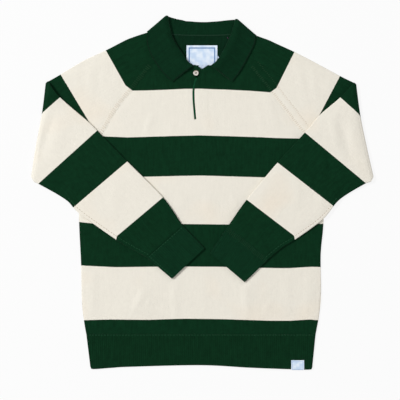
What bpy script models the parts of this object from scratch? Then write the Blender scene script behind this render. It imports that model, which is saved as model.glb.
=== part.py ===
"""Knitted cotton rugby shirt, laid flat on its back with both sleeves folded over the front.

The frame is +X to the right, +Y towards the collar and +Z up from the surface that the shirt
lies on, with the origin under the middle of the whole outline. Sizes are in millimetres and
MM turns them into metres when a mesh is made.

The cloth lies in levels one PITCH apart. From the surface up they are the back layer, the
front layer, and the two layers of each sleeve where it is folded over. Two height functions
shape every level alike: collar_lift raises the cloth that lies over the back of the collar,
and front_rise raises the front layer at the neck and along the soft swells of the body.
"""
import math
from collections import namedtuple

import bmesh
import bpy
import numpy as np
from mathutils import Matrix, Vector

MM = 0.001

# Cloth
WALL = 1.9            # knitted cloth
GAP = 0.4             # air between two layers that lie on each other
PITCH = WALL + GAP    # from one layer to the next
SEAM = 0.3            # between two pieces that are sewn together
EDGE_RADIUS = (WALL + PITCH) / 2       # round edge of a tube pressed flat
FOLD_HEIGHT = WALL + PITCH + GAP / 2   # axis of a sleeve's fold above the surface
EDGE_DROP = 1.2       # how far a panel's free edge rounds towards the other panel
EDGE_BAND = 2.5       # width of that rounding
SAG_START = 14.0      # from the cloth below to where a folded sleeve starts to hang down
SAG_FULL = 48.0       # from there to where it has come down by two layers

# Ribs of the hem and the cuffs
RIB_PITCH = 4.3
RIB_HEIGHT = 0.45

# Placket, button and labels
SLIT_WIDTH = 4.0
BINDING_WIDTH = 3.4
BINDING_PROUD = 0.5
BINDING_ROWS = 6      # rows of the slit that the binding fills
BUTTON_DIAMETER = 11.5
BUTTON_THICKNESS = 2.2
BUTTON_DISH = 0.6
BUTTON_RIM = 1.5
BUTTON_HOLE = 1.5
BUTTON_HOLE_SPACING = 2.6
BUTTON_TILT = math.radians(5.0)
BUTTON_CENTRE = (-13.5, 250.5)
LABEL_THICKNESS = 0.5

# The oval under which the back of the collar lies, and how the cloth comes down around it
COLLAR_OVAL = (-0.9, 358.3, 126.0, 65.0)    # centre x, centre y, half width, half length
LIFT_FULL = 1.12
LIFT_NONE = 1.75

# Height of the front layer over the back one: centre, half sizes along and across, turn, height
Swell = namedtuple("Swell", "x y along across turn height")
SWELLS = (
    Swell(0.0, 270.0, 56.0, 36.0, 0.0, 2.6),
    Swell(-138.0, -238.0, 70.0, 42.0, 62.0, 1.5),
    Swell(96.0, -222.0, 80.0, 44.0, 88.0, 1.2),
    Swell(20.0, 40.0, 120.0, 70.0, 5.0, 1.0),
)

# Points that both sides of the shirt share, one row each: x and y of the left and the right
Mark = namedtuple("Mark", "place left_x left_y right_x right_y")

RAGLAN = (
    Mark("leaf edge", -98.2, 273.2, 94.4, 270.5),
    Mark("first stripe", -146.3, 213.4, 142.7, 210.2),
    Mark("upper chest", -174.8, 178.7, 174.0, 169.5),
    Mark("second stripe", -205.6, 128.1, 205.6, 129.4),
    Mark("above armpit", -234.0, 90.0, 233.0, 92.0),
    Mark("armpit", -256.7, 58.0, 253.6, 60.0),
)
SIDE = (
    Mark("armpit", -256.7, 58.0, 253.6, 60.0),
    Mark("under armpit", -258.8, -42.8, 254.6, -55.4),
    Mark("waist", -254.2, -152.7, 248.6, -131.0),
    Mark("hip", -252.5, -225.5, 249.4, -204.5),
    Mark("above hem", -248.3, -267.5, 246.2, -250.0),
    Mark("hem seam", -243.5, -296.9, 238.2, -296.9),
)
HEM_SIDE = (
    Mark("hem seam", -243.3, -297.2, 238.0, -297.2),
    Mark("hem corner", -235.4, -361.0, 231.4, -362.0),
)
OVERARM = (
    Mark("under the collar", -103.4, 339.6, 102.6, 332.6),
    Mark("collar edge", -116.5, 331.2, 116.0, 322.6),
    Mark("shoulder", -156.8, 320.0, 152.8, 312.4),
    Mark("first stripe", -202.3, 298.6, 193.5, 295.3),
    Mark("upper arm", -250.6, 275.9, 236.4, 273.2),
    Mark("second stripe", -297.5, 247.8, 289.3, 244.7),
    Mark("fold", -328.3, 230.4, 322.9, 228.1),
)
FOLD = (
    Mark("top", -328.3, 230.4, 322.9, 228.1),
    Mark("third stripe", -336.3, 166.1, 331.9, 160.9),
    Mark("elbow", -349.1, 97.9, 346.0, 92.4),
    Mark("bottom", -359.2, 33.0, 359.4, 33.0),
)
FOREARM_TOP = (
    Mark("fold", -328.3, 230.4, 322.9, 228.1),
    Mark("third stripe", -297.5, 199.5, 289.1, 199.5),
    Mark("over the body", -237.2, 147.4, 245.8, 162.1),
    Mark("fourth stripe", -219.8, 130.0, 214.9, 125.8),
    Mark("fifth stripe", -156.8, 65.5, 157.8, 63.0),
    Mark("sixth stripe", -82.2, -9.9, 93.1, -14.7),
    Mark("cuff seam", -40.4, -69.5, 54.1, -70.1),
)
FOREARM_BOTTOM = (
    Mark("fold", -359.2, 33.0, 359.4, 33.0),
    Mark("corner", -351.6, 21.6, 352.6, 22.4),
    Mark("fourth stripe", -341.0, 17.0, 338.5, 17.0),
    Mark("fifth stripe", -285.5, -15.5, 287.2, -15.5),
    Mark("body side", -256.8, -44.4, 252.6, -56.2),
    Mark("sixth stripe", -181.1, -98.3, 194.8, -98.5),
    Mark("above the cuff", -151.7, -116.3, 168.5, -114.7),
    Mark("cuff seam", -115.6, -136.3, 138.7, -139.4),
)
CUFF = (
    Mark("top of the seam", -40.4, -69.5, 54.1, -70.1),
    Mark("bottom of the seam", -115.6, -136.3, 138.7, -139.4),
    Mark("top of the end", 4.7, -116.3, 16.7, -126.8),
    Mark("bottom of the end", -63.3, -180.6, 88.9, -187.7),
)

# Collar, one row for each place along it: where it is sewn on, where it rolls over, its edge
Station = namedtuple("Station", "place seam_x seam_y roll_x roll_y edge_x edge_y")
COLLAR_LEFT = (
    Station("front end", -24.8, 261.0, -19.8, 265.6, -62.5, 231.6),
    Station("beside the neck point", -40.6, 267.4, -30.3, 272.6, -80.1, 248.4),
    Station("front of the leaf", -60.2, 284.4, -44.8, 293.6, -98.6, 272.6),
    Station("raglan corner", -77.0, 303.2, -60.8, 319.2, -110.8, 295.1),
    Station("side of the leaf", -90.0, 325.7, -69.0, 346.5, -116.7, 318.4),
    Station("side fold", -93.2, 350.9, -72.1, 368.3, -113.9, 333.9),
)
COLLAR_RIGHT = (
    Station("front end", 23.8, 260.0, 19.6, 264.8, 62.5, 232.0),
    Station("beside the neck point", 40.4, 268.0, 32.2, 275.7, 78.9, 252.9),
    Station("front of the leaf", 56.6, 284.6, 45.3, 296.7, 91.4, 274.6),
    Station("raglan corner", 71.6, 301.8, 58.1, 322.4, 103.4, 297.5),
    Station("side of the leaf", 85.6, 323.6, 66.0, 344.8, 110.8, 314.2),
    Station("side fold", 91.7, 343.8, 70.7, 361.2, 112.0, 326.8),
)
COLLAR_BACK = (
    Station("left of the back", -82.4, 339.3, -66.8, 366.2, -97.0, 318.2),
    Station("left quarter", -64.2, 332.6, -56.0, 363.2, -71.0, 307.0),
    Station("left of the middle", -34.0, 330.9, -28.0, 357.8, -36.0, 298.0),
    Station("middle", -0.5, 330.5, 3.0, 356.4, -1.0, 295.6),
    Station("right of the middle", 33.0, 330.9, 30.0, 357.4, 34.0, 298.0),
    Station("right quarter", 62.9, 332.4, 53.0, 360.0, 68.0, 306.6),
    Station("right of the back", 81.4, 337.3, 66.4, 361.4, 95.0, 316.4),
)

# Middle of the front opening from the neck down to its end
SLIT = ((0.1, 257.4), (-6.4, 249.1), (-12.4, 240.7), (-17.0, 223.9), (-18.4, 208.0),
        (-17.8, 190.0), (-16.0, 169.3), (-14.6, 153.5))
NECK_POINT = Mark("neck point", -14.8, 268.0, 12.5, 267.2)
HEM_BOTTOM = ((-234.0, -366.6), (-228.0, -370.2), (-190.0, -367.6), (-151.7, -365.4),
              (-4.7, -362.0), (100.3, -367.3), (180.0, -370.4), (224.0, -371.3),
              (230.2, -367.8))

# Rows of the body panels between the hem seam, the armpit, the end of the slit and the neck
ROWS_SIDE = 9
ROWS_SLIT = 8

# Sleeve sections
SLEEVE_UPPER = 8
SLEEVE_FOLD = 6
SLEEVE_LOWER = 12
SLEEVE_CROWDING = 1.35    # above one, the sections of the forearm crowd towards its fold
# Share of the raglan line at which the lines along a sleeve start
RAGLAN_SHARES = (0.0, 0.16, 0.34, 0.52, 0.70, 0.86, 1.0)

GREEN = (0.0052, 0.0331, 0.0144)
CREAM = (0.8550, 0.8148, 0.7305)
LABEL_BLUE = (0.7157, 0.7913, 0.9387)
SHELL = (0.4900, 0.4179, 0.3467)


# ---------------------------------------------------------------- curves and patches

def sample(points, shares):
    """Points at the given shares of the length of a smooth curve through the given ones."""
    given = np.array(points, float)
    padded = np.vstack([2 * given[0] - given[1], given, 2 * given[-1] - given[-2]])
    t = np.linspace(0.0, 1.0, 24, endpoint=False)[:, None]
    dense = []
    for i in range(len(given) - 1):
        a, b, c, d = padded[i:i + 4]
        dense.append(0.5 * (2 * b + (c - a) * t + (2 * a - 5 * b + 4 * c - d) * t ** 2
                            + (3 * b - a - 3 * c + d) * t ** 3))
    return along(np.vstack(dense + [given[-1:]]), shares)


def along(points, shares):
    """Points at the given shares of the length of a polyline."""
    line = np.array(points, float)
    steps = np.linalg.norm(np.diff(line, axis=0), axis=1)
    length = np.concatenate([[0.0], np.cumsum(steps)])
    where = np.array(shares) * length[-1]
    return np.column_stack([np.interp(where, length, line[:, k]) for k in range(line.shape[1])])


def subdivide(points, parts):
    """A polyline with each of its segments divided into equal parts."""
    line = np.array(points, float)
    out = [line[0]]
    for a, b in zip(line[:-1], line[1:]):
        for k in range(1, parts + 1):
            out.append(a + (b - a) * k / parts)
    return np.array(out)


def even(count):
    """Equal shares from 0 to 1."""
    return np.linspace(0.0, 1.0, count + 1)


def lengths(line):
    """Share of the length at each point of a polyline."""
    steps = np.linalg.norm(np.diff(line, axis=0), axis=1)
    total = np.concatenate([[0.0], np.cumsum(steps)])
    return total / total[-1]


def coons(bottom, top, left, right):
    """Grid of plan points between four edges, rows from the bottom and columns from the left."""
    v = ((lengths(left) + lengths(right)) / 2)[:, None, None]
    u = ((lengths(bottom) + lengths(top)) / 2)[None, :, None]
    ruled_rows = (1 - v) * bottom[None] + v * top[None]
    ruled_cols = (1 - u) * left[:, None] + u * right[:, None]
    corners = ((1 - v) * ((1 - u) * bottom[0] + u * bottom[-1])
               + v * ((1 - u) * top[0] + u * top[-1]))
    return ruled_rows + ruled_cols - corners


def marks(table, side):
    """The left or the right points of a table."""
    if side == "left":
        return [(row.left_x, row.left_y) for row in table]
    return [(row.right_x, row.right_y) for row in table]


def unit(vector):
    """The vector at length one."""
    return np.array(vector, float) / np.linalg.norm(vector)


def smoothstep(x, low, high):
    """0 below low, 1 above high and a smooth rise between them."""
    t = np.clip((x - low) / (high - low), 0.0, 1.0)
    return t * t * (3 - 2 * t)


# ---------------------------------------------------------------- heights

def collar_lift(x, y):
    """How far the back of the collar raises the cloth that lies over it."""
    cx, cy, half_width, half_length = COLLAR_OVAL
    q = math.hypot((x - cx) / half_width, (y - cy) / half_length)
    return PITCH * (1 - float(smoothstep(q, LIFT_FULL, LIFT_NONE)))


def front_rise(x, y):
    """Height of the front layer over its flat level."""
    rise = 0.0
    for swell in SWELLS:
        turn = math.radians(swell.turn)
        dx, dy = x - swell.x, y - swell.y
        a = (dx * math.cos(turn) + dy * math.sin(turn)) / swell.along
        b = (dy * math.cos(turn) - dx * math.sin(turn)) / swell.across
        rise += swell.height * math.exp(-(a * a + b * b))
    return rise


def forearm_sag(x, y, side):
    """How far the folded sleeve hangs down beside the body, below the upper sleeve."""
    armpit = np.array(marks(RAGLAN, side)[-1])
    corner = np.array(marks(FOLD, side)[-1])
    out = unit(corner - armpit)
    down = np.array((-out[1], out[0])) if side == "left" else np.array((out[1], -out[0]))
    below = float(np.dot(np.array((x, y)) - armpit, down))
    beside = (armpit[0] - x) if side == "left" else (x - armpit[0])
    depth = WALL + PITCH
    return depth * float(smoothstep(min(below, beside - 2.0), SAG_START, SAG_FULL))


# ---------------------------------------------------------------- meshes

def material(name, colour, roughness):
    """A plain Principled material."""
    mat = bpy.data.materials.new(name)
    mat.use_nodes = True
    shader = mat.node_tree.nodes["Principled BSDF"]
    shader.inputs["Base Color"].default_value = (*colour, 1.0)
    shader.inputs["Roughness"].default_value = roughness
    shader.inputs["Metallic"].default_value = 0.0
    return mat


def make_object(name, points, faces, mat, smooth_angle=40.0):
    """A closed mesh object from points in millimetres."""
    mesh = bpy.data.meshes.new(name)
    mesh.from_pydata([tuple(float(c) * MM for c in p) for p in points], [], faces)
    bm = bmesh.new()
    bm.from_mesh(mesh)
    bmesh.ops.recalc_face_normals(bm, faces=bm.faces)
    bm.to_mesh(mesh)
    bm.free()
    mesh.materials.append(mat)
    mesh.shade_smooth()
    mesh.set_sharp_from_angle(angle=math.radians(smooth_angle))
    obj = bpy.data.objects.new(name, mesh)
    bpy.context.scene.collection.objects.link(obj)
    return obj


def panel(name, plan, low, high, mat, keep=None):
    """A closed solid over a grid of plan points, between two height functions.

    low and high take x, y, row and column. keep says which cells of the grid are cloth.
    """
    rows, cols = plan.shape[:2]
    used = {(i, j) for i in range(rows - 1) for j in range(cols - 1)
            if keep is None or keep(i, j)}
    index, points = {}, []

    def vertex(i, j, upper):
        key = (i, j, upper)
        if key not in index:
            x, y = plan[i, j]
            index[key] = len(points)
            points.append((x, y, (high if upper else low)(x, y, i, j)))
        return index[key]

    faces = []
    for i, j in sorted(used):
        ring = ((i, j), (i, j + 1), (i + 1, j + 1), (i + 1, j))
        faces.append([vertex(a, b, True) for a, b in ring])
        faces.append([vertex(a, b, False) for a, b in reversed(ring)])
        beyond = ((i - 1, j), (i, j + 1), (i + 1, j), (i, j - 1))
        for k in range(4):
            if beyond[k] not in used:
                a, b = ring[k], ring[(k + 1) % 4]
                faces.append([vertex(*a, False), vertex(*b, False),
                              vertex(*b, True), vertex(*a, True)])
    return make_object(name, points, faces, mat)


def tube(name, outer, inner, mat):
    """A closed solid between an outer and an inner row of rings, open at both ends.

    The two halves of a ring are split along mirrored diagonals, so that the layers of a tube
    pressed flat stay parallel.
    """
    sections, around = len(outer), len(outer[0])
    points = [p for ring in outer for p in ring] + [p for ring in inner for p in ring]
    start = sections * around
    faces = []
    for i in range(sections - 1):
        for j in range(around):
            k = (j + 1) % around
            a, b = i * around + j, i * around + k
            c, d = a + around, b + around
            split = ((a, b, d), (a, d, c)) if j < around // 2 else ((a, b, c), (b, d, c))
            for p, q, r in split:
                faces.append((p, q, r))
                faces.append((start + p, start + r, start + q))
    for i in (0, sections - 1):
        for j in range(around):
            k = (j + 1) % around
            a, b = i * around + j, i * around + k
            faces.append((a, b, start + b, start + a) if i else (b, a, start + a, start + b))
    return make_object(name, points, faces, mat)


# ---------------------------------------------------------------- shared lines

def raglan_line(side):
    """The seam between body and sleeve, from its corner at the neck down to the armpit."""
    collar = COLLAR_LEFT if side == "left" else COLLAR_RIGHT
    corner = (collar[3].seam_x, collar[3].seam_y)
    return sample([corner] + marks(RAGLAN, side), RAGLAN_SHARES)


def slit_line():
    """The middle of the slit from its lower end up to the neck."""
    return sample(SLIT[::-1], even(ROWS_SLIT))


def neck_line(side, first, last):
    """The neck seam between two rows of the collar's front table."""
    collar = COLLAR_LEFT if side == "left" else COLLAR_RIGHT
    step = 1 if last >= first else -1
    return np.array([(collar[k].seam_x, collar[k].seam_y)
                     for k in range(first, last + step, step)])


def shifted(line, amount, towards):
    """A polyline moved sideways by an amount, to the side on which a point lies."""
    line = np.array(line, float)
    tangent = np.gradient(line, axis=0)
    tangent /= np.linalg.norm(tangent, axis=1)[:, None]
    normal = np.column_stack([-tangent[:, 1], tangent[:, 0]])
    middle = len(line) // 2
    if np.dot(np.array(towards) - line[middle], normal[middle]) < 0:
        normal = -normal
    return line + normal * amount


# ---------------------------------------------------------------- body

def front_panel(mat):
    """Front with its raglan edges, neck scoop and the slit of the half placket."""
    slit = slit_line()
    halves = []
    for side in ("left", "right"):
        outward = -1.0 if side == "left" else 1.0
        edge = sample(marks(SIDE, side)[::-1], even(ROWS_SIDE))
        raglan = subdivide(raglan_line(side), 2)[::-1]
        raglan = shifted(raglan, SEAM / 2, (0.0, 0.0))
        outer = np.vstack([edge, raglan[1:]])
        level = len(outer) - 1 - ROWS_SLIT - ROWS_SIDE
        middle = np.vstack([
            np.linspace((-14.6, -296.9), (-14.6, 60.0), ROWS_SIDE + 1),
            np.linspace((-14.6, 60.0), (-14.6, 153.5), level + 1)[1:],
            slit[1:]])
        middle = middle + np.array((outward * SLIT_WIDTH / 2, 0.0))
        neck = shifted(neck_line(side, 3, 0), SEAM / 2, (outward * 150.0, 200.0))
        neck[0] = outer[-1]
        point = marks([NECK_POINT], side)[0]
        shoulder = neck[0] + unit(neck[1] - neck[0]) * EDGE_BAND
        top = np.vstack([neck[:1], shoulder, neck[1:], point, middle[-1:]])
        first = EDGE_BAND / abs(edge[0][0] - middle[0][0])
        shares = np.concatenate([[0.0], np.linspace(first, 1.0, len(top) - 1)])
        bottom = along([edge[0], middle[0]], shares)
        grid = coons(bottom, top, outer, middle)
        halves.append(grid if side == "left" else grid[:, ::-1])
    plan = np.concatenate(halves, axis=1)
    seam_col = halves[0].shape[1] - 1
    last_col = plan.shape[1] - 1
    slit_start = plan.shape[0] - 1 - ROWS_SLIT

    def low(x, y, i, j):
        return PITCH + collar_lift(x, y) + front_rise(x, y)

    def high(x, y, i, j):
        free = j in (0, last_col) and i < ROWS_SIDE
        return low(x, y, i, j) + WALL - (EDGE_DROP if free else 0.0)

    def keep(i, j):
        return j != seam_col or i < slit_start

    return panel("front_panel", plan, low, high, mat, keep)


def back_panel(mat):
    """Back with its raglan edges and the back neck seam."""
    sides = []
    for side in ("left", "right"):
        edge = sample(marks(SIDE, side)[::-1], even(ROWS_SIDE))
        raglan = subdivide(raglan_line(side), 2)[::-1]
        neck = subdivide(neck_line(side, 3, 5), 2)
        upper = np.vstack([raglan, neck[1:]])
        upper = shifted(upper, SEAM / 2, (0.0, 280.0))
        sides.append(np.vstack([edge, upper[1:]]))
    left, right = sides
    seam = [(s.seam_x, s.seam_y) for s in COLLAR_BACK]
    seam = [neck_line("left", 5, 5)[0]] + seam + [neck_line("right", 5, 5)[0]]
    top = shifted(seam, SEAM / 2, (0.0, 0.0))
    top[0], top[-1] = left[-1], right[-1]
    top = np.vstack([top[:1], top[0] + unit(top[1] - top[0]) * EDGE_BAND, top[1:-1],
                     top[-1] + unit(top[-2] - top[-1]) * EDGE_BAND, top[-1:]])
    first = EDGE_BAND / (right[0][0] - left[0][0])
    shares = np.concatenate([[0.0], np.linspace(first, 1.0 - first, len(top) - 2), [1.0]])
    bottom = along([left[0], right[0]], shares)
    plan = coons(bottom, top, left, right)
    last_col = plan.shape[1] - 1

    def low(x, y, i, j):
        free = j in (0, last_col) and i < ROWS_SIDE
        return collar_lift(x, y) + (EDGE_DROP if free else 0.0)

    def high(x, y, i, j):
        return collar_lift(x, y) + WALL

    return panel("back_panel", plan, low, high, mat)


def hem_plan(columns):
    """Two rows of plan points of the hem, with its round lower corners."""
    top_left, low_left = marks(HEM_SIDE, "left")
    top_right, low_right = marks(HEM_SIDE, "right")
    top = along([top_left, top_right], even(columns))
    bottom = sample([low_left, *HEM_BOTTOM, low_right], even(columns))
    return np.stack([bottom, top])


def hem_front(mat):
    """Front of the hem, with its ribs raised over a plain inside."""
    ribs = round(480.0 / RIB_PITCH)
    plan = hem_plan(2 * ribs)

    def low(x, y, i, j):
        return PITCH + front_rise(x, y)

    def high(x, y, i, j):
        edge = j in (0, 2 * ribs)
        return PITCH + front_rise(x, y) + WALL - (RIB_HEIGHT if j % 2 == 0 else 0.0) \
            - (EDGE_DROP - RIB_HEIGHT if edge else 0.0)

    return panel("hem_front", plan, low, high, mat)


def hem_back(mat):
    """Back of the hem, flat where it rests."""
    plan = hem_plan(30)

    def low(x, y, i, j):
        return 0.0

    def high(x, y, i, j):
        return WALL

    return panel("hem_back", plan, low, high, mat)


# ---------------------------------------------------------------- sleeves

def flat_ring(line, radius, place):
    """A ring around a section line: over it, round its end, back under it, round its start.

    line holds plan points from the overarm edge to the underarm edge. radius is the round
    edge's. place(point, offset) gives the point in space at an offset from the middle level,
    positive towards the outside of the front layer.
    """
    line = np.array(line, float)
    start = unit(line[0] - line[1])
    end = unit(line[-1] - line[-2])
    inner = line.copy()
    inner[0] = line[0] - start * EDGE_RADIUS
    inner[-1] = line[-1] - end * EDGE_RADIUS
    ring = [place(p, radius) for p in inner]
    for angle in (45.0, 90.0, 135.0):
        a = math.radians(angle)
        ring.append(place(inner[-1] + end * radius * math.sin(a), radius * math.cos(a)))
    ring += [place(p, -radius) for p in inner[::-1]]
    for angle in (135.0, 90.0, 45.0):
        a = math.radians(angle)
        ring.append(place(inner[0] + start * radius * math.sin(a), radius * math.cos(a)))
    return ring


def sleeve(side, mat):
    """A raglan sleeve: a tube pressed flat, folded over the front near the elbow."""
    a_line = marks(FOLD, side)
    outward = np.array((-1.0, 0.0)) if side == "left" else np.array((1.0, 0.0))
    run = unit(np.array(a_line[-1]) - np.array(a_line[0]))
    normal = np.array((run[1], -run[0]))
    if np.dot(normal, outward) < 0:
        normal = -normal
    inset = -normal * FOLD_HEIGHT
    count = len(RAGLAN_SHARES) + 1
    neck = shifted(neck_line(side, 5, 3), SEAM / 2, (outward[0] * 160.0, 300.0))
    raglan = shifted(raglan_line(side), SEAM / 2, (outward[0] * 300.0, 250.0))
    root = np.vstack([neck[:-1], raglan])
    shares = lengths(root)
    fold = sample(np.array(a_line) + inset, shares)
    overarm = sample([root[0]] + marks(OVERARM, side)[:-1] + [fold[0]], even(SLEEVE_UPPER))
    underarm = np.linspace(root[-1], fold[-1], SLEEVE_UPPER + 1)
    upper = coons(overarm, underarm, root, fold).transpose(1, 0, 2)

    seam = along(marks(CUFF[:2], side), shares)
    steps = even(SLEEVE_LOWER) ** SLEEVE_CROWDING
    top = sample([fold[0]] + marks(FOREARM_TOP, side)[1:], steps)
    bottom = sample([fold[-1]] + marks(FOREARM_BOTTOM, side)[1:], steps)
    lower = coons(top, bottom, fold, seam).transpose(1, 0, 2)
    end = unit(np.mean(lower[-1], axis=0) - np.mean(lower[-2], axis=0))
    lower[-1] -= end * SEAM / 2

    middle = PITCH - GAP / 2

    def place_upper(point, offset):
        x, y = point
        rise = front_rise(x, y) * (offset + EDGE_RADIUS) / (2 * EDGE_RADIUS)
        return (x, y, middle + offset + collar_lift(x, y) + rise)

    def place_fold(angle):
        def place(point, offset):
            r = FOLD_HEIGHT - (middle + offset)
            x, y = np.array(point) + normal * r * math.sin(angle)
            return (x, y, FOLD_HEIGHT - r * math.cos(angle))
        return place

    def place_lower(point, offset):
        x, y = point
        r = FOLD_HEIGHT - (middle + offset)
        return (x, y, FOLD_HEIGHT + r + front_rise(x, y) - forearm_sag(x, y, side))

    rings = {}
    for name, radius in (("outer", EDGE_RADIUS), ("inner", GAP / 2)):
        rows = [flat_ring(line, radius, place_upper) for line in upper[:-1]]
        for k in range(SLEEVE_FOLD + 1):
            angle = math.pi * k / SLEEVE_FOLD
            rows.append(flat_ring(upper[-1], radius, place_fold(angle)))
        rows += [flat_ring(line, radius, place_lower) for line in lower[1:]]
        rings[name] = rows
    assert len(upper[0]) == count + 1
    return tube("sleeve_" + side, rings["outer"], rings["inner"], mat)


def cuff(side, mat):
    """A rib cuff: a flat tube with its ribs raised on both sides over a plain inside."""
    seam_top, seam_bottom, end_top, end_bottom = [np.array(p) for p in marks(CUFF, side)]
    ribs = round(float(np.linalg.norm(seam_top - seam_bottom)) / RIB_PITCH)
    run = unit((end_top + end_bottom) - (seam_top + seam_bottom))
    bases = (
        (seam_top + run * SEAM / 2, seam_bottom + run * SEAM / 2),
        ((seam_top + end_top) / 2, (seam_bottom + end_bottom) / 2),
        (end_top, end_bottom),
    )
    middle = FOLD_HEIGHT + PITCH

    def ring(base, ribbed):
        a, b = base
        across = unit(b - a)
        first, last = a + across * EDGE_RADIUS, b - across * EDGE_RADIUS
        line = along([first, last], even(2 * ribs))
        radius = EDGE_RADIUS if ribbed else GAP / 2
        points = []
        for sign in (1.0, -1.0):
            for j, p in enumerate(line if sign > 0 else line[::-1]):
                valley = RIB_HEIGHT if ribbed and j % 2 == 1 else 0.0
                height = middle + sign * (radius - valley) + front_rise(p[0], p[1])
                points.append((p[0], p[1], height))
            corner, way = (last, across) if sign > 0 else (first, -across)
            for angle in (45.0, 90.0, 135.0):
                t = math.radians(angle)
                p = corner + way * radius * math.sin(t)
                height = middle + sign * radius * math.cos(t) + front_rise(p[0], p[1])
                points.append((p[0], p[1], height))
        return points

    outer = [ring(base, True) for base in bases]
    inner = [ring(base, False) for base in bases]
    return tube("cuff_" + side, outer, inner, mat)


# ---------------------------------------------------------------- collar

def collar_stations():
    """Sections of the collar from its left front end round the back to its right front end.

    Each is the plan points of seam, roll and edge, the angle by which the section has turned
    over at the side fold, and the outward direction of that fold.
    """
    def plan(row):
        return np.array(((row.seam_x, row.seam_y), (row.roll_x, row.roll_y),
                         (row.edge_x, row.edge_y)))

    def refine(rows):
        shares = even(2 * (len(rows) - 1))
        seam = subdivide([r[0] for r in rows], 2)
        roll = sample([r[1] for r in rows], shares)
        edge = sample([r[2] for r in rows], shares)
        return [np.array(s) for s in zip(seam, roll, edge)]

    def outward(row, sign):
        line = unit(row[1] - row[2])
        return np.array((-line[1], line[0])) * sign

    left = [plan(row) for row in COLLAR_LEFT]
    right = [plan(row) for row in COLLAR_RIGHT]
    back = [left[-1]] + [plan(row) for row in COLLAR_BACK] + [right[-1]]
    out_left, out_right = outward(left[-1], 1.0), outward(right[-1], -1.0)
    steps = 6
    stations = [(s, 0.0, out_left) for s in refine(left)]
    stations += [(left[-1], math.pi * k / steps, out_left) for k in range(1, steps)]
    stations += [(s, math.pi, out_left) for s in refine(back)]
    stations += [(right[-1], math.pi * k / steps, out_right) for k in range(steps - 1, 0, -1)]
    stations += [(s, 0.0, out_right) for s in refine(right)[::-1]]
    return stations


def collar(mat):
    """Knitted collar: a short stand that rolls over into the leaves, in one piece."""
    stand_parts, roll_parts, fall_parts = 2, 4, 4
    half_pitch = PITCH / 2

    def section(station, side):
        """Points from the neck seam over the roll to the free edge, on one face of the wall."""
        (seam, roll, edge), angle, out = station
        delta = side * WALL / 2
        way = unit(roll - seam)
        seam = seam + way * SEAM / 2
        path = []
        for k in range(stand_parts):
            t = k / stand_parts
            path.append((seam + (roll - seam) * t, half_pitch - delta))
        for k in range(roll_parts):
            t = math.pi * k / roll_parts
            reach = (half_pitch + delta) * math.sin(t)
            path.append((roll + way * reach, PITCH - (half_pitch + delta) * math.cos(t)))
        for k in range(fall_parts + 1):
            t = k / fall_parts
            path.append((roll + (edge - roll) * t, PITCH + half_pitch + delta))
        points = []
        for plan, level in path:
            x, y = plan + out * level * math.sin(angle)
            front = (1 + math.cos(angle)) / 2
            height = PITCH - GAP / 2 + level * math.cos(angle) + front_rise(x, y) * front
            lift = collar_lift(x, y) if angle < math.pi / 2 else PITCH
            points.append((x, y, height + lift))
        return points

    stations = collar_stations()
    rings = [section(s, 1.0) + section(s, -1.0)[::-1] for s in stations]
    around = len(rings[0])
    points = [p for ring in rings for p in ring]
    faces = []
    for i in range(len(rings) - 1):
        for j in range(around):
            k = (j + 1) % around
            faces.append((i * around + j, i * around + k,
                          (i + 1) * around + k, (i + 1) * around + j))
    half = around // 2
    for i in (0, len(rings) - 1):
        for j in range(half - 1):
            a, b = i * around + j, i * around + j + 1
            c, d = i * around + around - 2 - j, i * around + around - 1 - j
            faces.append((a, b, c, d))
    return make_object("collar", points, faces, mat)


# ---------------------------------------------------------------- small parts

def placket_binding(mat):
    """The narrow knitted edge that shows along the slit, a little proud of the front."""
    slit = slit_line()
    bottom = slit[0] + unit(slit[1] - slit[0]) * SEAM
    line = subdivide([bottom, *slit[1:BINDING_ROWS + 1]], 2)
    half = BINDING_WIDTH / 2
    across = np.stack([line + np.array((side * half, 0.0)) for side in (-1.0, 0.0, 1.0)], axis=1)

    def low(x, y, i, j):
        return PITCH + collar_lift(x, y) + front_rise(x, y)

    def high(x, y, i, j):
        return low(x, y, i, j) + WALL + (BINDING_PROUD if j == 1 else 0.0)

    return panel("placket_binding", across, low, high, mat)


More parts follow.
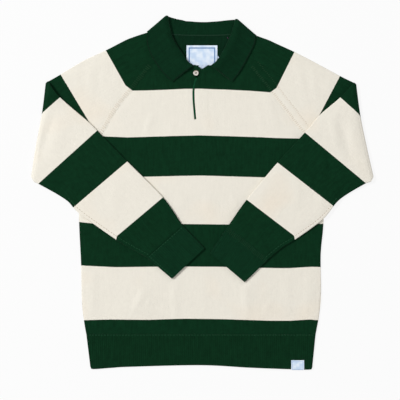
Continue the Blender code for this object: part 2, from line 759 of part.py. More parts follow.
def button(mat):
    """A dished button with four holes and a raised rim."""
    outer, thick = BUTTON_DIAMETER / 2, BUTTON_THICKNESS
    bm = bmesh.new()
    profile = (
        (0.0, 0.0), (outer - 0.7, 0.0), (outer, 0.7), (outer, thick - 0.5),
        (outer - 0.5, thick), (outer - BUTTON_RIM, thick),
        (outer - BUTTON_RIM - 0.6, thick - BUTTON_DISH), (0.0, thick - BUTTON_DISH),
    )
    verts = [bm.verts.new((r * MM, 0.0, z * MM)) for r, z in profile]
    edges = [bm.edges.new((a, b)) for a, b in zip(verts[:-1], verts[1:])]
    bmesh.ops.spin(bm, geom=verts + edges, axis=(0, 0, 1), cent=(0, 0, 0), steps=24,
                   angle=2 * math.pi, use_merge=True)
    bmesh.ops.remove_doubles(bm, verts=bm.verts, dist=1e-6)
    bmesh.ops.recalc_face_normals(bm, faces=bm.faces)
    mesh = bpy.data.meshes.new("button")
    bm.to_mesh(mesh)
    bm.free()
    mesh.materials.append(mat)
    obj = bpy.data.objects.new("button", mesh)
    bpy.context.scene.collection.objects.link(obj)
    for k in range(4):
        angle = math.pi / 4 + k * math.pi / 2
        x = BUTTON_HOLE_SPACING / math.sqrt(2) * math.cos(angle)
        y = BUTTON_HOLE_SPACING / math.sqrt(2) * math.sin(angle)
        drill = bmesh.new()
        bmesh.ops.create_cone(drill, cap_ends=True, segments=10, radius1=BUTTON_HOLE / 2 * MM,
                              radius2=BUTTON_HOLE / 2 * MM, depth=4 * thick * MM,
                              matrix=Matrix.Translation((x * MM, y * MM, 0.0)))
        cutter_mesh = bpy.data.meshes.new("hole")
        drill.to_mesh(cutter_mesh)
        drill.free()
        cutter = bpy.data.objects.new(f"button_hole_{k + 1}", cutter_mesh)
        bpy.context.scene.collection.objects.link(cutter)
        cutter.hide_render = True
        cutter.display_type = "WIRE"
        cutter.parent = obj
        cut = obj.modifiers.new(f"hole_{k + 1}", "BOOLEAN")
        cut.operation = "DIFFERENCE"
        cut.solver = "EXACT"
        cut.object = cutter
    x, y = BUTTON_CENTRE
    base = WALL + PITCH + collar_lift(x, y) + front_rise(x, y)
    base += SEAM + outer * math.sin(BUTTON_TILT) + 0.2
    obj.location = Vector((x * MM, y * MM, base * MM))
    obj.rotation_euler = (0.0, BUTTON_TILT, 0.0)
    return obj


def flat_label(name, left, right, bottom, top, cells, height, mat):
    """A thin woven label over a height function."""
    across = np.linspace(left, right, cells[0] + 1)
    up = np.linspace(bottom, top, cells[1] + 1)
    plan = np.array([[(x, y) for x in across] for y in up])

    def low(x, y, i, j):
        return height(x, y)

    def high(x, y, i, j):
        return height(x, y) + LABEL_THICKNESS

    return panel(name, plan, low, high, mat)


def hem_label(mat):
    """A small woven label folded over the lower edge of the hem."""
    left, right, top, bottom = 186.6, 213.7, -351.5, -371.1
    front = PITCH + WALL + SEAM
    rows = ((top, front), (bottom - 0.6, front), (bottom - 1.1, front - 0.4),
            (bottom - 1.1, front - 2.4))
    inner = ((top, 0.0), (bottom - 0.5, 0.0), (bottom - 0.6, -0.1), (bottom - 0.6, -2.4))
    points, faces = [], []
    for x in (left, right):
        for k in range(4):
            points.append((x, rows[k][0], rows[k][1] + LABEL_THICKNESS))
        for k in range(4):
            points.append((x, inner[k][0], front + inner[k][1] + 0.0))
    for k in range(3):
        faces.append((k, k + 1, 8 + k + 1, 8 + k))
        faces.append((4 + k, 12 + k, 12 + k + 1, 4 + k + 1))
        faces.append((k, 4 + k, 4 + k + 1, k + 1))
        faces.append((8 + k, 8 + k + 1, 12 + k + 1, 12 + k))
    faces.append((0, 8, 12, 4))
    faces.append((3, 7, 15, 11))
    return make_object("hem_label", points, faces, mat)


# ---------------------------------------------------------------- the shirt

def main():
    """Clears the scene and builds every piece of the shirt."""
    for obj in list(bpy.data.objects):
        bpy.data.objects.remove(obj, do_unlink=True)

    front_panel(material("striped_knit_front", CREAM, 0.9))
    back_panel(material("striped_knit_back", CREAM, 0.9))
    hem_front(material("green_rib_hem_front", GREEN, 0.9))
    hem_back(material("green_rib_hem_back", GREEN, 0.9))
    for side in ("left", "right"):
        sleeve(side, material("striped_knit_sleeve_" + side, CREAM, 0.9))
        cuff(side, material("green_rib_cuff_" + side, GREEN, 0.9))
    collar(material("green_knit_collar", GREEN, 0.9))
    placket_binding(material("green_binding", GREEN, 0.9))
    button(material("shell_button", SHELL, 0.25))

    def inside_back(x, y):
        return WALL + SEAM + collar_lift(x, y)

    def over_care_label(x, y):
        return inside_back(x, y) + LABEL_THICKNESS + SEAM

    woven = material("woven_label", LABEL_BLUE, 0.6)
    flat_label("care_label", -6.0, 35.2, 254.0, 300.0, (4, 6), inside_back,
               material("care_label_satin", LABEL_BLUE, 0.6))
    flat_label("neck_label", -32.9, 31.6, 266.9, 308.7, (6, 6), over_care_label, woven)
    hem_label(material("hem_label_woven", LABEL_BLUE, 0.6))


main()
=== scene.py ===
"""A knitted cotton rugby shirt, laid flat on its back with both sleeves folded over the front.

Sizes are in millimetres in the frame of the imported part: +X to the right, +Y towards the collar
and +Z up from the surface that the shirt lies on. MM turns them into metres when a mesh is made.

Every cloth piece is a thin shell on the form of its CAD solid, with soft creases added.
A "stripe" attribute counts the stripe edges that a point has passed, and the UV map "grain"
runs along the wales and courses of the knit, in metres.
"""
import logging
from dataclasses import dataclass
from enum import Enum
from functools import partial
from math import cos, exp, pi, radians, sin, sqrt
from typing import Callable, ClassVar, NamedTuple, Sequence

import bmesh
import bpy
import numpy as np
from mathutils import Matrix, Vector
from mathutils.bvhtree import BVHTree
from numpy.linalg import norm


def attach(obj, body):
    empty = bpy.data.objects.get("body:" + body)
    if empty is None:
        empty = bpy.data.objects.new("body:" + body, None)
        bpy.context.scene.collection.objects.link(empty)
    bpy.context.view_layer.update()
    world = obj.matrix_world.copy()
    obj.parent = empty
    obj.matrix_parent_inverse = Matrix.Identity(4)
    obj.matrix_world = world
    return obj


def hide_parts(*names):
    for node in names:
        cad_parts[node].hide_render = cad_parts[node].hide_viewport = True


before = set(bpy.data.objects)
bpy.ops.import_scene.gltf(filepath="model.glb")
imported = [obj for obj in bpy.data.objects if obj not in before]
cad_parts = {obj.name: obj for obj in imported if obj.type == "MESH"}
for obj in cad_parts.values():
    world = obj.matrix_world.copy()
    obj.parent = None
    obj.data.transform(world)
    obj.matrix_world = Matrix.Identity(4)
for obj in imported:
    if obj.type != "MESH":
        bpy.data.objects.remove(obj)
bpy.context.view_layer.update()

LOG = logging.getLogger("rugby_shirt")
MM = 0.001
TURN = 2 * pi

Array = np.ndarray
Object = bpy.types.Object
Material = bpy.types.Material
Node = bpy.types.Node
NodeTree = bpy.types.NodeTree
Point = tuple[float, float]
Line = Sequence[Point]
Adder = Callable[..., Node]


class Side(Enum):
    """The side of the shirt, as the viewer sees its front."""

    LEFT = "left"
    RIGHT = "right"

    @property
    def sign(self) -> float:
        """-1 on the left and 1 on the right."""
        return -1.0 if self is Side.LEFT else 1.0


class Layer(Enum):
    """The face of the shirt that a panel belongs to."""

    FRONT = "front"
    BACK = "back"


class Mark(NamedTuple):
    """A point of the left side and its fellow on the right."""

    left: Point
    right: Point


class Station(NamedTuple):
    """A section of the collar: where it is sewn on, where it rolls over and its edge."""

    seam: Point
    roll: Point
    edge: Point


def table(kind: type, *rows: Sequence[float]) -> tuple:
    """A table of marks or stations from rows of numbers: x and y of each point in turn."""
    return tuple(kind(*zip(row[::2], row[1::2])) for row in rows)


# ------------ sizes

@dataclass(frozen=True)
class Cloth:
    """The knit and how its layers lie on each other."""

    wall: float = 1.9
    gap: float = 0.4
    seam: float = 0.04
    rim: float = 2.0          # width over which a sewn edge rounds down into its seam
    rim_drop: float = 0.24
    side_round: float = 2.1   # radius of the round side edge of a tube pressed flat
    loose: float = 0.8        # how far a folded sleeve lies off the body, above the gap
    touch: float = 0.15       # how far the sides of the body close the gap between its layers
    core: float = 0.18        # least offset of a tube's faces from its middle level

    @property
    def pitch(self) -> float:
        """From one layer to the next."""
        return self.wall + self.gap

    @property
    def fold_height(self) -> float:
        """Axis of a sleeve's fold above the surface."""
        return self.wall + self.pitch + self.gap / 2

    @property
    def middle(self) -> float:
        """Level of the middle between the two walls of a sleeve or the collar."""
        return self.pitch - self.gap / 2


@dataclass(frozen=True)
class Rib:
    """The rib knit of the hem and the cuffs."""

    pitch: float = 4.3
    height: float = 0.6
    parts: int = 4            # columns of faces in a rib

    def furrows(self, width: float) -> tuple[Array, Array]:
        """The ribs of a band of the given width.

        Returns:
            The place of each column, counted in ribs, and how deep the band is furrowed there.
        """
        place = np.arange(round(width / self.pitch) * self.parts + 1) / self.parts
        return place, self.height * (0.5 + 0.5 * np.cos(TURN * place)) ** 1.5


@dataclass(frozen=True)
class Swell:
    """A broad soft rise of the front layer: its middle, half sizes, turn in degrees, height."""

    middle: Point
    along: float
    across: float
    turn: float
    height: float


@dataclass(frozen=True)
class Outline:
    """The lines in plan that the pieces share."""

    raglan: tuple[Mark, ...] = table(Mark,
        (-98.2, 273.2, 94.4, 270.5), (-146.3, 213.4, 142.7, 210.2), (-174.8, 178.7, 174, 169.5),
        (-205.6, 128.1, 205.6, 129.4), (-234, 90, 233, 92), (-256.7, 58, 253.6, 60))
    side_seam: tuple[Mark, ...] = table(Mark,
        (-256.7, 58, 253.6, 60), (-258.8, -42.8, 254.6, -55.4), (-254.2, -152.7, 248.6, -131),
        (-252.5, -225.5, 249.4, -204.5), (-248.3, -267.5, 246.2, -250),
        (-243.5, -296.9, 238.2, -296.9))
    hem_side: tuple[Mark, ...] = table(Mark,
        (-243.3, -297.2, 238, -297.2), (-235.4, -361, 231.4, -362))
    overarm: tuple[Mark, ...] = table(Mark,
        (-103.4, 339.6, 102.6, 332.6), (-116.5, 335.2, 116, 328.4), (-128.6, 331.6, 127, 324.4),
        (-145.4, 325.8, 139, 320.2), (-162.2, 319.2, 154.9, 312.9), (-202.3, 298.6, 193.5, 295.3),
        (-250.6, 275.9, 236.4, 273.2), (-297.5, 247.8, 289.3, 244.7),
        (-328.3, 230.4, 322.9, 228.1))
    fold: tuple[Mark, ...] = table(Mark,
        (-328.3, 230.4, 322.9, 228.1), (-336.3, 166.1, 331.9, 160.9), (-349.1, 97.9, 346, 92.4),
        (-359.2, 33, 359.4, 33))
    forearm_top: tuple[Mark, ...] = table(Mark,
        (-328.3, 230.4, 322.9, 228.1), (-297.5, 199.5, 289.1, 199.5),
        (-237.2, 147.4, 245.8, 162.1), (-219.8, 130, 214.9, 125.8), (-156.8, 65.5, 157.8, 63),
        (-82.2, -9.9, 93.1, -14.7), (-40.4, -69.5, 54.1, -70.1))
    forearm_bottom: tuple[Mark, ...] = table(Mark,
        (-359.2, 33, 359.4, 33), (-351.6, 21.6, 352.6, 22.4), (-341, 17, 338.5, 17),
        (-285.5, -15.5, 287.2, -15.5), (-256.8, -44.4, 252.6, -56.2),
        (-181.1, -98.3, 194.8, -98.5), (-151.7, -116.3, 168.5, -114.7),
        (-115.6, -136.3, 138.7, -139.4))
    cuff: tuple[Mark, ...] = table(Mark,
        (-40.4, -69.5, 54.1, -70.1), (-115.6, -136.3, 138.7, -139.4), (4.7, -116.3, 16.7, -126.8),
        (-63.3, -180.6, 88.9, -187.7))
    slit: Line = (
        (-0.4, 259.2), (-6.4, 249.1), (-12.4, 240.7), (-17, 223.9), (-18.4, 208), (-17.8, 190),
        (-16, 169.3), (-14.6, 153.5))
    neck_points: tuple[Mark, ...] = table(Mark,
        (-17.7, 267.2, 17.3, 266.5), (-14.8, 268, 12.5, 267.2))
    hem_bottom: Line = (
        (-234, -366.6), (-228, -370.2), (-190, -367.6), (-151.7, -365.4), (-4.7, -362),
        (100.3, -367.3), (180, -370.4), (224, -371.3), (230.2, -367.8))
    collar_left: tuple[Station, ...] = table(Station,
        (-24.8, 261, -19.8, 265.6, -62.5, 231.6), (-40.6, 267.4, -30.3, 272.6, -80.1, 248.4),
        (-60.2, 284.4, -44.8, 293.6, -98.6, 272.6), (-77, 303.2, -60.8, 319.2, -110.8, 295.1),
        (-90, 325.7, -69, 346.5, -116.7, 318.4), (-93.2, 350.9, -72.6, 368.4, -113.6, 334))
    collar_right: tuple[Station, ...] = table(Station,
        (23.8, 260, 19.6, 264.8, 62.5, 232), (40.4, 268, 32.2, 275.7, 78.9, 252.9),
        (56.6, 284.6, 45.3, 296.7, 91.4, 274.6), (71.6, 301.8, 58.1, 322.4, 103.4, 297.5),
        (85.6, 323.6, 66, 344.8, 110.8, 314.2), (91.7, 343.8, 69.9, 361.4, 111.2, 326.2))
    collar_back: tuple[Station, ...] = table(Station,
        (-82.4, 339.3, -66.8, 366.2, -97, 318.2), (-64.2, 332.6, -56, 363.2, -71, 307),
        (-34, 330.9, -28, 357.8, -36, 298), (-0.5, 330.5, 3, 356.4, -1, 295.6),
        (33, 330.9, 30, 357.4, 34, 298), (62.9, 332.4, 53, 360, 68, 306.6),
        (81.4, 337.3, 66.4, 361.4, 95, 316.4))


CLOTH = Cloth()
RIB = Rib()
OUTLINE = Outline()
PITCH = CLOTH.pitch

# Radii of the outer and the inner face of a flat tube at its round edges
OUTSIDE = CLOTH.side_round
FACES = (OUTSIDE, CLOTH.gap / 2)

# The oval under which the back of the collar lies: centre, half width and half length
COLLAR_OVAL = (-0.9, 358.3, 126.0, 65.0)
LIFT_FULL, LIFT_NONE = 1.12, 1.75

SWELLS = (
    Swell((0.0, 270.0), 56.0, 36.0, 0.0, 2.6), Swell((-138.0, -238.0), 70.0, 42.0, 62.0, 1.5),
    Swell((96.0, -222.0), 80.0, 44.0, 88.0, 1.2), Swell((20.0, 40.0), 120.0, 70.0, 5.0, 1.0),)

# From the cloth below to where a folded sleeve starts to hang down, and where it is down
SAG_START, SAG_FULL = 14.0, 48.0


# ------------ curves

def run_of(line: Array) -> Array:
    """Distance along a polyline to each of its points."""
    steps = norm(np.diff(line, axis=0), axis=1)
    return np.concatenate([[0.0], np.cumsum(steps)])


def along(points: Line, shares: Sequence[float]) -> Array:
    """Points at the given shares of the length of a polyline.

    Args:
        points: The polyline.
        shares: Shares of its length, from 0 to 1.

    Returns:
        One row for each share.
    """
    line = np.array(points, float)
    length = run_of(line)
    where = np.array(shares) * length[-1]
    return np.column_stack([np.interp(where, length, line[:, k]) for k in range(line.shape[1])])


def sample(points: Line, shares: Sequence[float]) -> Array:
    """Points at the given shares of the length of a smooth curve through the given points.

    Args:
        points: The points that the curve passes through.
        shares: Shares of its length, from 0 to 1.

    Returns:
        One row for each share.
    """
    given = np.array(points, float)
    padded = np.vstack([2 * given[0] - given[1], given, 2 * given[-1] - given[-2]])
    t = np.linspace(0.0, 1.0, 24, endpoint=False)[:, None]
    dense = []
    for i in range(len(given) - 1):
        a, b, c, d = padded[i:i + 4]
        dense.append(0.5 * (2 * b + (c - a) * t + (2 * a - 5 * b + 4 * c - d) * t ** 2
                            + (3 * b - a - 3 * c + d) * t ** 3))
    return along(np.vstack(dense + [given[-1:]]), shares)


def even(count: int) -> Array:
    """Equal shares from 0 to 1."""
    return np.linspace(0.0, 1.0, count + 1)


def rimmed(length: float, step: float, first: bool = True, last: bool = True) -> Array:
    """Even shares of a length, with finer ones at the ends that a rim or seam rounds.

    Args:
        length: The length in millimetres.
        step: The even step in millimetres.
        first: Whether the start is rimmed.
        last: Whether the end is rimmed.

    Returns:
        Shares from 0 to 1.
    """
    fine = [0.0, 0.25, 0.65, 1.2, CLOTH.rim]
    low = fine if first else [0.0]
    high = [length - f for f in (fine if last else [0.0])][::-1]
    inner = max(1, round((high[0] - low[-1]) / step))
    middle = np.linspace(low[-1], high[0], inner + 1)[1:-1]
    return np.concatenate([low, middle, high]) / length


def extent(line: Array) -> float:
    """Length of a polyline."""
    return float(norm(np.diff(np.array(line, float), axis=0), axis=1).sum())


def lengths(line: Array) -> Array:
    """Share of the length at each point of a polyline."""
    total = run_of(line)
    return total / total[-1]


def coons(bottom: Array, top: Array, left: Array, right: Array) -> Array:
    """A grid of plan points between four edges.

    Args:
        bottom: The edge at the first row.
        top: The edge at the last row.
        left: The edge at the first column.
        right: The edge at the last column.

    Returns:
        An array of rows by columns by 2.
    """
    v = ((lengths(left) + lengths(right)) / 2)[:, None, None]
    u = ((lengths(bottom) + lengths(top)) / 2)[None, :, None]
    rows = (1 - v) * bottom[None] + v * top[None]
    cols = (1 - u) * left[:, None] + u * right[:, None]
    corners = ((1 - v) * ((1 - u) * bottom[0] + u * bottom[-1])
               + v * ((1 - u) * top[0] + u * top[-1]))
    return rows + cols - corners


def marks(table: Sequence[Mark], side: Side) -> list[Point]:
    """The points of one side of a table."""
    return [m.left if side is Side.LEFT else m.right for m in table]


def collar_rows(side: Side) -> tuple[Station, ...]:
    """The stations of one leaf of the collar."""
    return OUTLINE.collar_left if side is Side.LEFT else OUTLINE.collar_right


def unit(vector: Sequence[float]) -> Array:
    """The vector at length one."""
    return np.array(vector, float) / norm(vector)


def smoothstep(x: Array, low: float, high: float) -> Array:
    """0 below low, 1 above high and a smooth rise between them."""
    t = np.clip((np.asarray(x, float) - low) / (high - low), 0.0, 1.0)
    return t * t * (3 - 2 * t)


def normals(line: Array) -> Array:
    """The normal to the left of a polyline's run at each of its points."""
    tangent = np.gradient(line, axis=0)
    tangent /= norm(tangent, axis=1)[:, None]
    return np.column_stack([-tangent[:, 1], tangent[:, 0]])


def shifted(line: Array, amount: float, towards: Point) -> Array:
    """A polyline moved sideways.

    Args:
        line: The polyline.
        amount: How far it moves.
        towards: A point on the side that it moves to.

    Returns:
        The moved polyline.
    """
    line = np.array(line, float)
    normal = normals(line)
    middle = len(line) // 2
    if np.dot(np.array(towards) - line[middle], normal[middle]) < 0:
        normal = -normal
    return line + normal * amount


def nearest(xy: Array, line: Array) -> tuple[Array, Array, Array]:
    """How points lie beside a polyline.

    Args:
        xy: Points, with x and y in the last axis.
        line: The polyline.

    Returns:
        The distance, the share of the length at the nearest place, and on which side (1 or -1).
    """
    shape = xy.shape[:-1]
    best = np.full(shape, 1e9)
    share = np.zeros(shape)
    side = np.ones(shape)
    at = lengths(line)
    for k in range(len(line) - 1):
        a, run = line[k], line[k + 1] - line[k]
        rel = xy - a
        t = np.clip((rel @ run) / float(run @ run), 0.0, 1.0)
        d = norm(rel - t[..., None] * run, axis=-1)
        closer = d < best
        best = np.where(closer, d, best)
        share = np.where(closer, at[k] + t * (at[k + 1] - at[k]), share)
        cross = run[0] * rel[..., 1] - run[1] * rel[..., 0]
        side = np.where(closer, np.sign(cross) + (cross == 0), side)
    return best, share, side


# ------------ heights

# Height at the middle of a crease for each unit of its given height
CREASE_PEAK = 1.45


@dataclass(frozen=True)
class Crease:
    """A soft ridge along a line, or a trough where its height is negative.

    lean makes one flank steeper: towards the left of the line's run where it is positive.
    """

    line: Line
    width: float
    height: float
    lean: float = 0.0

    def at(self, xy: Array) -> Array:
        """Its height at plan points."""
        distance, share, side = nearest(xy, sample(self.line, even(10)))
        width = self.width * (1.0 - self.lean * side)
        return (CREASE_PEAK * self.height * np.exp(-(distance / width) ** 2)
                * np.sin(np.pi * share) ** 0.8)


def relief(xy: Array, creases: Sequence[Crease]) -> Array:
    """The height that a set of creases adds at plan points."""
    total = np.zeros(xy.shape[:-1])
    for crease in creases:
        total = total + crease.at(xy)
    return total


def collar_lift(xy: Array) -> Array:
    """How far the back of the collar raises the cloth that lies over it."""
    cx, cy, half_width, half_length = COLLAR_OVAL
    q = np.hypot((xy[..., 0] - cx) / half_width, (xy[..., 1] - cy) / half_length)
    return PITCH * (1 - smoothstep(q, LIFT_FULL, LIFT_NONE))


def front_rise(xy: Array) -> Array:
    """Height of the front layer over its flat level, on its broad swells."""
    rise = np.zeros(xy.shape[:-1])
    for swell in SWELLS:
        turn = radians(swell.turn)
        dx, dy = xy[..., 0] - swell.middle[0], xy[..., 1] - swell.middle[1]
        a = (dx * cos(turn) + dy * sin(turn)) / swell.along
        b = (dy * cos(turn) - dx * sin(turn)) / swell.across
        rise = rise + swell.height * np.exp(-(a * a + b * b))
    return rise


def forearm_sag(xy: Array, side: Side) -> Array:
    """How far the folded sleeve hangs down where it is beside the body."""
    armpit = np.array(marks(OUTLINE.raglan, side)[-1])
    corner = np.array(marks(OUTLINE.fold, side)[-1])
    out = unit(corner - armpit)
    down = np.array((-out[1], out[0])) * -side.sign
    below = (xy - armpit) @ down
    beside = (xy[..., 0] - armpit[0]) * side.sign
    depth = CLOTH.wall + PITCH
    return depth * smoothstep(np.minimum(below, beside - 2.0), SAG_START, SAG_FULL)


def forearm_outline(side: Side) -> Array:
    """Outline in plan of the folded forearm with its cuff."""
    top, bottom = marks(OUTLINE.forearm_top, side), marks(OUTLINE.forearm_bottom, side)
    ends = marks(OUTLINE.cuff, side)
    return np.array(top + [ends[2], ends[3]] + bottom[::-1] + [top[0]], float)


def rim(distance: Array | float) -> Array | float:
    """How far a sewn edge rounds down at a distance from it."""
    t = np.clip(1 - distance / CLOTH.rim, 0.0, 1.0)
    return CLOTH.rim_drop * (1 - np.sqrt(1 - t * t))


def brought_in(offset: Array, drop: float) -> Array:
    """Offsets from the middle level of a tube, less a drop, with its faces kept apart."""
    return np.sign(offset) * np.maximum(np.abs(offset) - drop, CLOTH.core)


def side_close(distance: Array) -> Array:
    """How far the facing sides of front and back come together at the side of the body."""
    return CLOTH.touch * (1 - smoothstep(distance, 0.0, 1.5))


def side_drop(distance: Array) -> Array:
    """How far the round side edge of the body or hem comes down at a distance from it."""
    t = np.clip(1 - distance / CLOTH.side_round, 0.0, 1.0)
    return (CLOTH.side_round - CLOTH.touch) * (1 - np.sqrt(1 - t * t))


# ------------ stripes

@dataclass(frozen=True)
class StripeField:
    """Counts the stripe edges that a point has passed along the run of the cloth.

    The edges are lines across the cloth. Between two of them the count rises evenly, so a
    whole number is an edge: even counts are green and odd ones are cream.
    """

    run: Point
    edges: tuple[Line, ...]
    first: int = 1
    reach: float = 400.0      # how far the ends of an edge are carried on

    def frame(self, xy: Array) -> tuple[Array, Array]:
        """Distances of plan points across the run and along it."""
        run = unit(self.run)
        return xy @ np.array((run[1], -run[0])), xy @ run

    def at(self, xy: Array) -> Array:
        """The count at plan points."""
        across, down = self.frame(xy)
        places = []
        for edge in self.edges:
            c, a = self.frame(np.array(edge, float))
            order = np.argsort(c)
            c, a = c[order], a[order]
            low = a[0] - self.reach * (a[1] - a[0]) / (c[1] - c[0])
            high = a[-1] + self.reach * (a[-1] - a[-2]) / (c[-1] - c[-2])
            c = np.concatenate([[c[0] - self.reach], c, [c[-1] + self.reach]])
            places.append(np.interp(across, c, np.concatenate([[low], a, [high]])))
        count = self.first + (down - places[0]) / (places[1] - places[0])
        for k in range(1, len(places) - 1):
            step = (down - places[k]) / (places[k + 1] - places[k])
            count = np.where(down > places[k], self.first + k + step, count)
        return count

    def colour_at(self, xy: Array) -> Array:
        """The count, held within half a stripe of the outermost edges."""
        return np.clip(self.at(xy), self.first - 0.5, self.first + len(self.edges) - 0.5)


BODY_STRIPES = StripeField((0.0, -1.0), (
    ((-146.1, 213.8), (-116.7, 214.2), (-78.2, 215.5), (-36.2, 217.6), (-4.7, 217.8),
     (58.3, 215.5), (100.3, 213.4), (142.7, 210.2)),
    ((-207.8, 117.8), (-156.8, 115.7), (-46.7, 118.9), (-4.7, 119.9), (58.3, 118.2),
     (121.3, 116.1), (153.4, 114.5), (205.3, 113.4)),
    ((-123.4, 33.4), (-4.7, 35.9), (127.8, 32.1)),
    ((-256.7, -61.7), (-227.3, -64.9), (-37.3, -65.9), (56.2, -67), (252.1, -65.3)),
    ((-254.2, -152.7), (-183.2, -156.2), (-88.7, -155.2), (-29.9, -155), (49.9, -155.6),
     (152.8, -158.3), (184.3, -158.3), (230.5, -155.4), (247.7, -156.2)),
    ((-248.3, -267.5), (-193.7, -265.9), (-116, -266.7), (-36.2, -264.4), (47.8, -265.4),
     (142.3, -268.6), (184.3, -268.6), (226.3, -265.9), (240.6, -267.5)),
))

UPPER_EDGES = {
    Side.LEFT: (((-202.3, 298.6), (-161, 224.9), (-146.1, 213.8)),
                ((-297.5, 247.8), (-237.2, 147.4))),
    Side.RIGHT: (((193.5, 295.3), (155.9, 219.7), (142.7, 210.2)),
                 ((289.3, 244.7), (245.8, 162.1))),}
FOREARM_EDGES = {
    Side.LEFT: (((-297.5, 199.5), (-336.3, 166.1)), ((-219.8, 130), (-343, 18.7)),
                ((-156.8, 65.5), (-269.3, -30.2)),
                ((-82.2, -9.9), (-178.6, -90.9), (-180.5, -98.5))),
    Side.RIGHT: (((289.1, 199.5), (331.9, 160.9)), ((214.9, 125.8), (339.5, 22.3)),
                 ((157.8, 63), (276, -29)), ((93.1, -14.7), (192.3, -90.3), (194.1, -98.9))),}


def unfolded(edge: Line, side: Side) -> Line:
    """A line mirrored across the fold of the sleeve."""
    fold = np.array(marks(OUTLINE.fold, side))
    run = unit(fold[-1] - fold[0])
    rel = np.array(edge, float) - fold[0]
    mirrored = fold[0] + 2 * np.outer(rel @ run, run) - rel
    return tuple(map(tuple, mirrored))


def sleeve_stripes(side: Side) -> tuple[StripeField, StripeField]:
    """The stripes of a sleeve, on its upper part and on its folded forearm."""
    upper, fore = UPPER_EDGES[side], FOREARM_EDGES[side]
    above = StripeField((side.sign * 0.872, -0.489),
                        upper + (unfolded(fore[0], side), unfolded(fore[1], side)), 1)
    below = StripeField((-side.sign * 0.670, -0.742), (unfolded(upper[1], side),) + fore, 2)
    return above, below


# ------------ meshes

def select_only(*objects: Object) -> None:
    """Selects the given objects alone, and makes the first of them active."""
    for obj in bpy.context.selected_objects:
        obj.select_set(False)
    for obj in objects:
        obj.select_set(True)
    if objects:
        bpy.context.view_layer.objects.active = objects[0]


def added(name: str, data: bpy.types.ID) -> Object:
    """A new object in the scene, with the given mesh, light or camera."""
    obj = bpy.data.objects.new(name, data)
    bpy.context.scene.collection.objects.link(obj)
    return obj


def finish_mesh(name: str, points: Array, faces: Sequence[Sequence[int]],
                finish: Material, smooth: float = 50.0, grain: Array | None = None,
                stripe: Array | None = None) -> Object:
    """Makes a closed, smooth-shaded object with its place in its mesh.

    Args:
        name: The object's name.
        points: Vertices in millimetres.
        faces: Faces as lists of vertex numbers.
        finish: The material.
        smooth: Sharpest angle in degrees that is still shaded smooth.
        grain: UV place of each vertex along the knit, in metres.
        stripe: Count of stripe edges at each vertex.

    Returns:
        The object.
    """
    mesh = bpy.data.meshes.new(name)
    mesh.from_pydata((np.asarray(points, float) * MM).tolist(), [], faces)
    bm = bmesh.new()
    bm.from_mesh(mesh)
    bmesh.ops.recalc_face_normals(bm, faces=bm.faces)
    bm.to_mesh(mesh)
    bm.free()
    if grain is not None:
        corners = np.empty(len(mesh.loops), dtype=np.int32)
        mesh.loops.foreach_get("vertex_index", corners)
        layer = mesh.uv_layers.new(name="grain")
        layer.data.foreach_set("uv", np.asarray(grain, np.float32)[corners].ravel())
    if stripe is not None:
        counts = mesh.attributes.new("stripe", "FLOAT", "POINT")
        counts.data.foreach_set("value", np.asarray(stripe, np.float32))
    mesh.materials.append(finish)
    mesh.shade_smooth()
    mesh.set_sharp_from_angle(angle=radians(smooth))
    return added(name, mesh)


def ring_faces(sections: int, around: int) -> tuple[Array, Array]:
    """The faces between closed rings that follow each other.

    Args:
        sections: How many rings there are.
        around: How many points each has.

    Returns:
        The number of each vertex, ring by ring, and the faces.
    """
    number = np.arange(sections * around).reshape(sections, around)
    beside = np.roll(number, -1, axis=1)
    faces = np.stack([number[:-1], beside[:-1], beside[1:], number[1:]], axis=-1)
    return number, faces.reshape(-1, 4)


def wall_faces(sections: int, around: int) -> list[list[int]]:
    """The faces of a closed wall: its rings run out along one face and back along the other.

    Args:
        sections: How many rings there are.
        around: How many points each has, half of them on each face.

    Returns:
        The faces, with those of both ends.
    """
    number, faces = ring_faces(sections, around)
    ends = [[row[j], row[j + 1], row[around - 2 - j], row[around - 1 - j]]
            for row in (number[0], number[-1]) for j in range(around // 2 - 1)]
    return np.vstack([faces, ends]).tolist()


def shell(name: str, plan: Array, low: Array, high: Array,
          finish: Material, keep: Array | None = None, grain: Array | None = None,
          stripe: Array | None = None) -> Object:
    """A closed sheet of cloth over a grid of plan points, between two heights.

    Args:
        name: The object's name.
        plan: Plan points, rows by columns by 2.
        low: Height of the underside at each.
        high: Height of the upper side at each.
        finish: The material.
        keep: Which cells of the grid are cloth, all of them by default.
        grain: UV place at each grid point, in metres.
        stripe: Count of stripe edges at each grid point.

    Returns:
        The object.
    """
    rows, cols = plan.shape[:2]
    if keep is None:
        keep = np.ones((rows - 1, cols - 1), bool)
    number = np.arange(rows * cols).reshape(rows, cols)
    a, b = number[:-1, :-1][keep], number[:-1, 1:][keep]
    c, d = number[1:, 1:][keep], number[1:, :-1][keep]
    top = np.column_stack([a, b, c, d])
    bottom = np.column_stack([a, d, c, b]) + rows * cols
    padded = np.pad(keep, 1)
    sides = []
    for (di, dj), (p, q) in (((-1, 0), (0, 1)), ((0, 1), (1, 2)), ((1, 0), (2, 3)),
                             ((0, -1), (3, 0))):
        open_side = ~padded[1 + di:rows + di, 1 + dj:cols + dj][keep]
        first, last = top[open_side, p], top[open_side, q]
        sides.append(np.column_stack([first, first + rows * cols, last + rows * cols, last]))
    faces = np.vstack([top, bottom] + sides)
    flat = plan.reshape(-1, 2)
    points = np.vstack([np.column_stack([flat, high.ravel()]),
                        np.column_stack([flat, low.ravel()])])
    used, packed = np.unique(faces, return_inverse=True)

    def both(values: Array | None, *shape: int) -> Array | None:
        """Values of the grid points for both faces of the sheet, where there are any."""
        return None if values is None else np.concatenate([values.reshape(shape)] * 2)[used]

    return finish_mesh(name, points[used], packed.reshape(faces.shape).tolist(), finish,
                       grain=both(grain, -1, 2), stripe=both(stripe, -1))


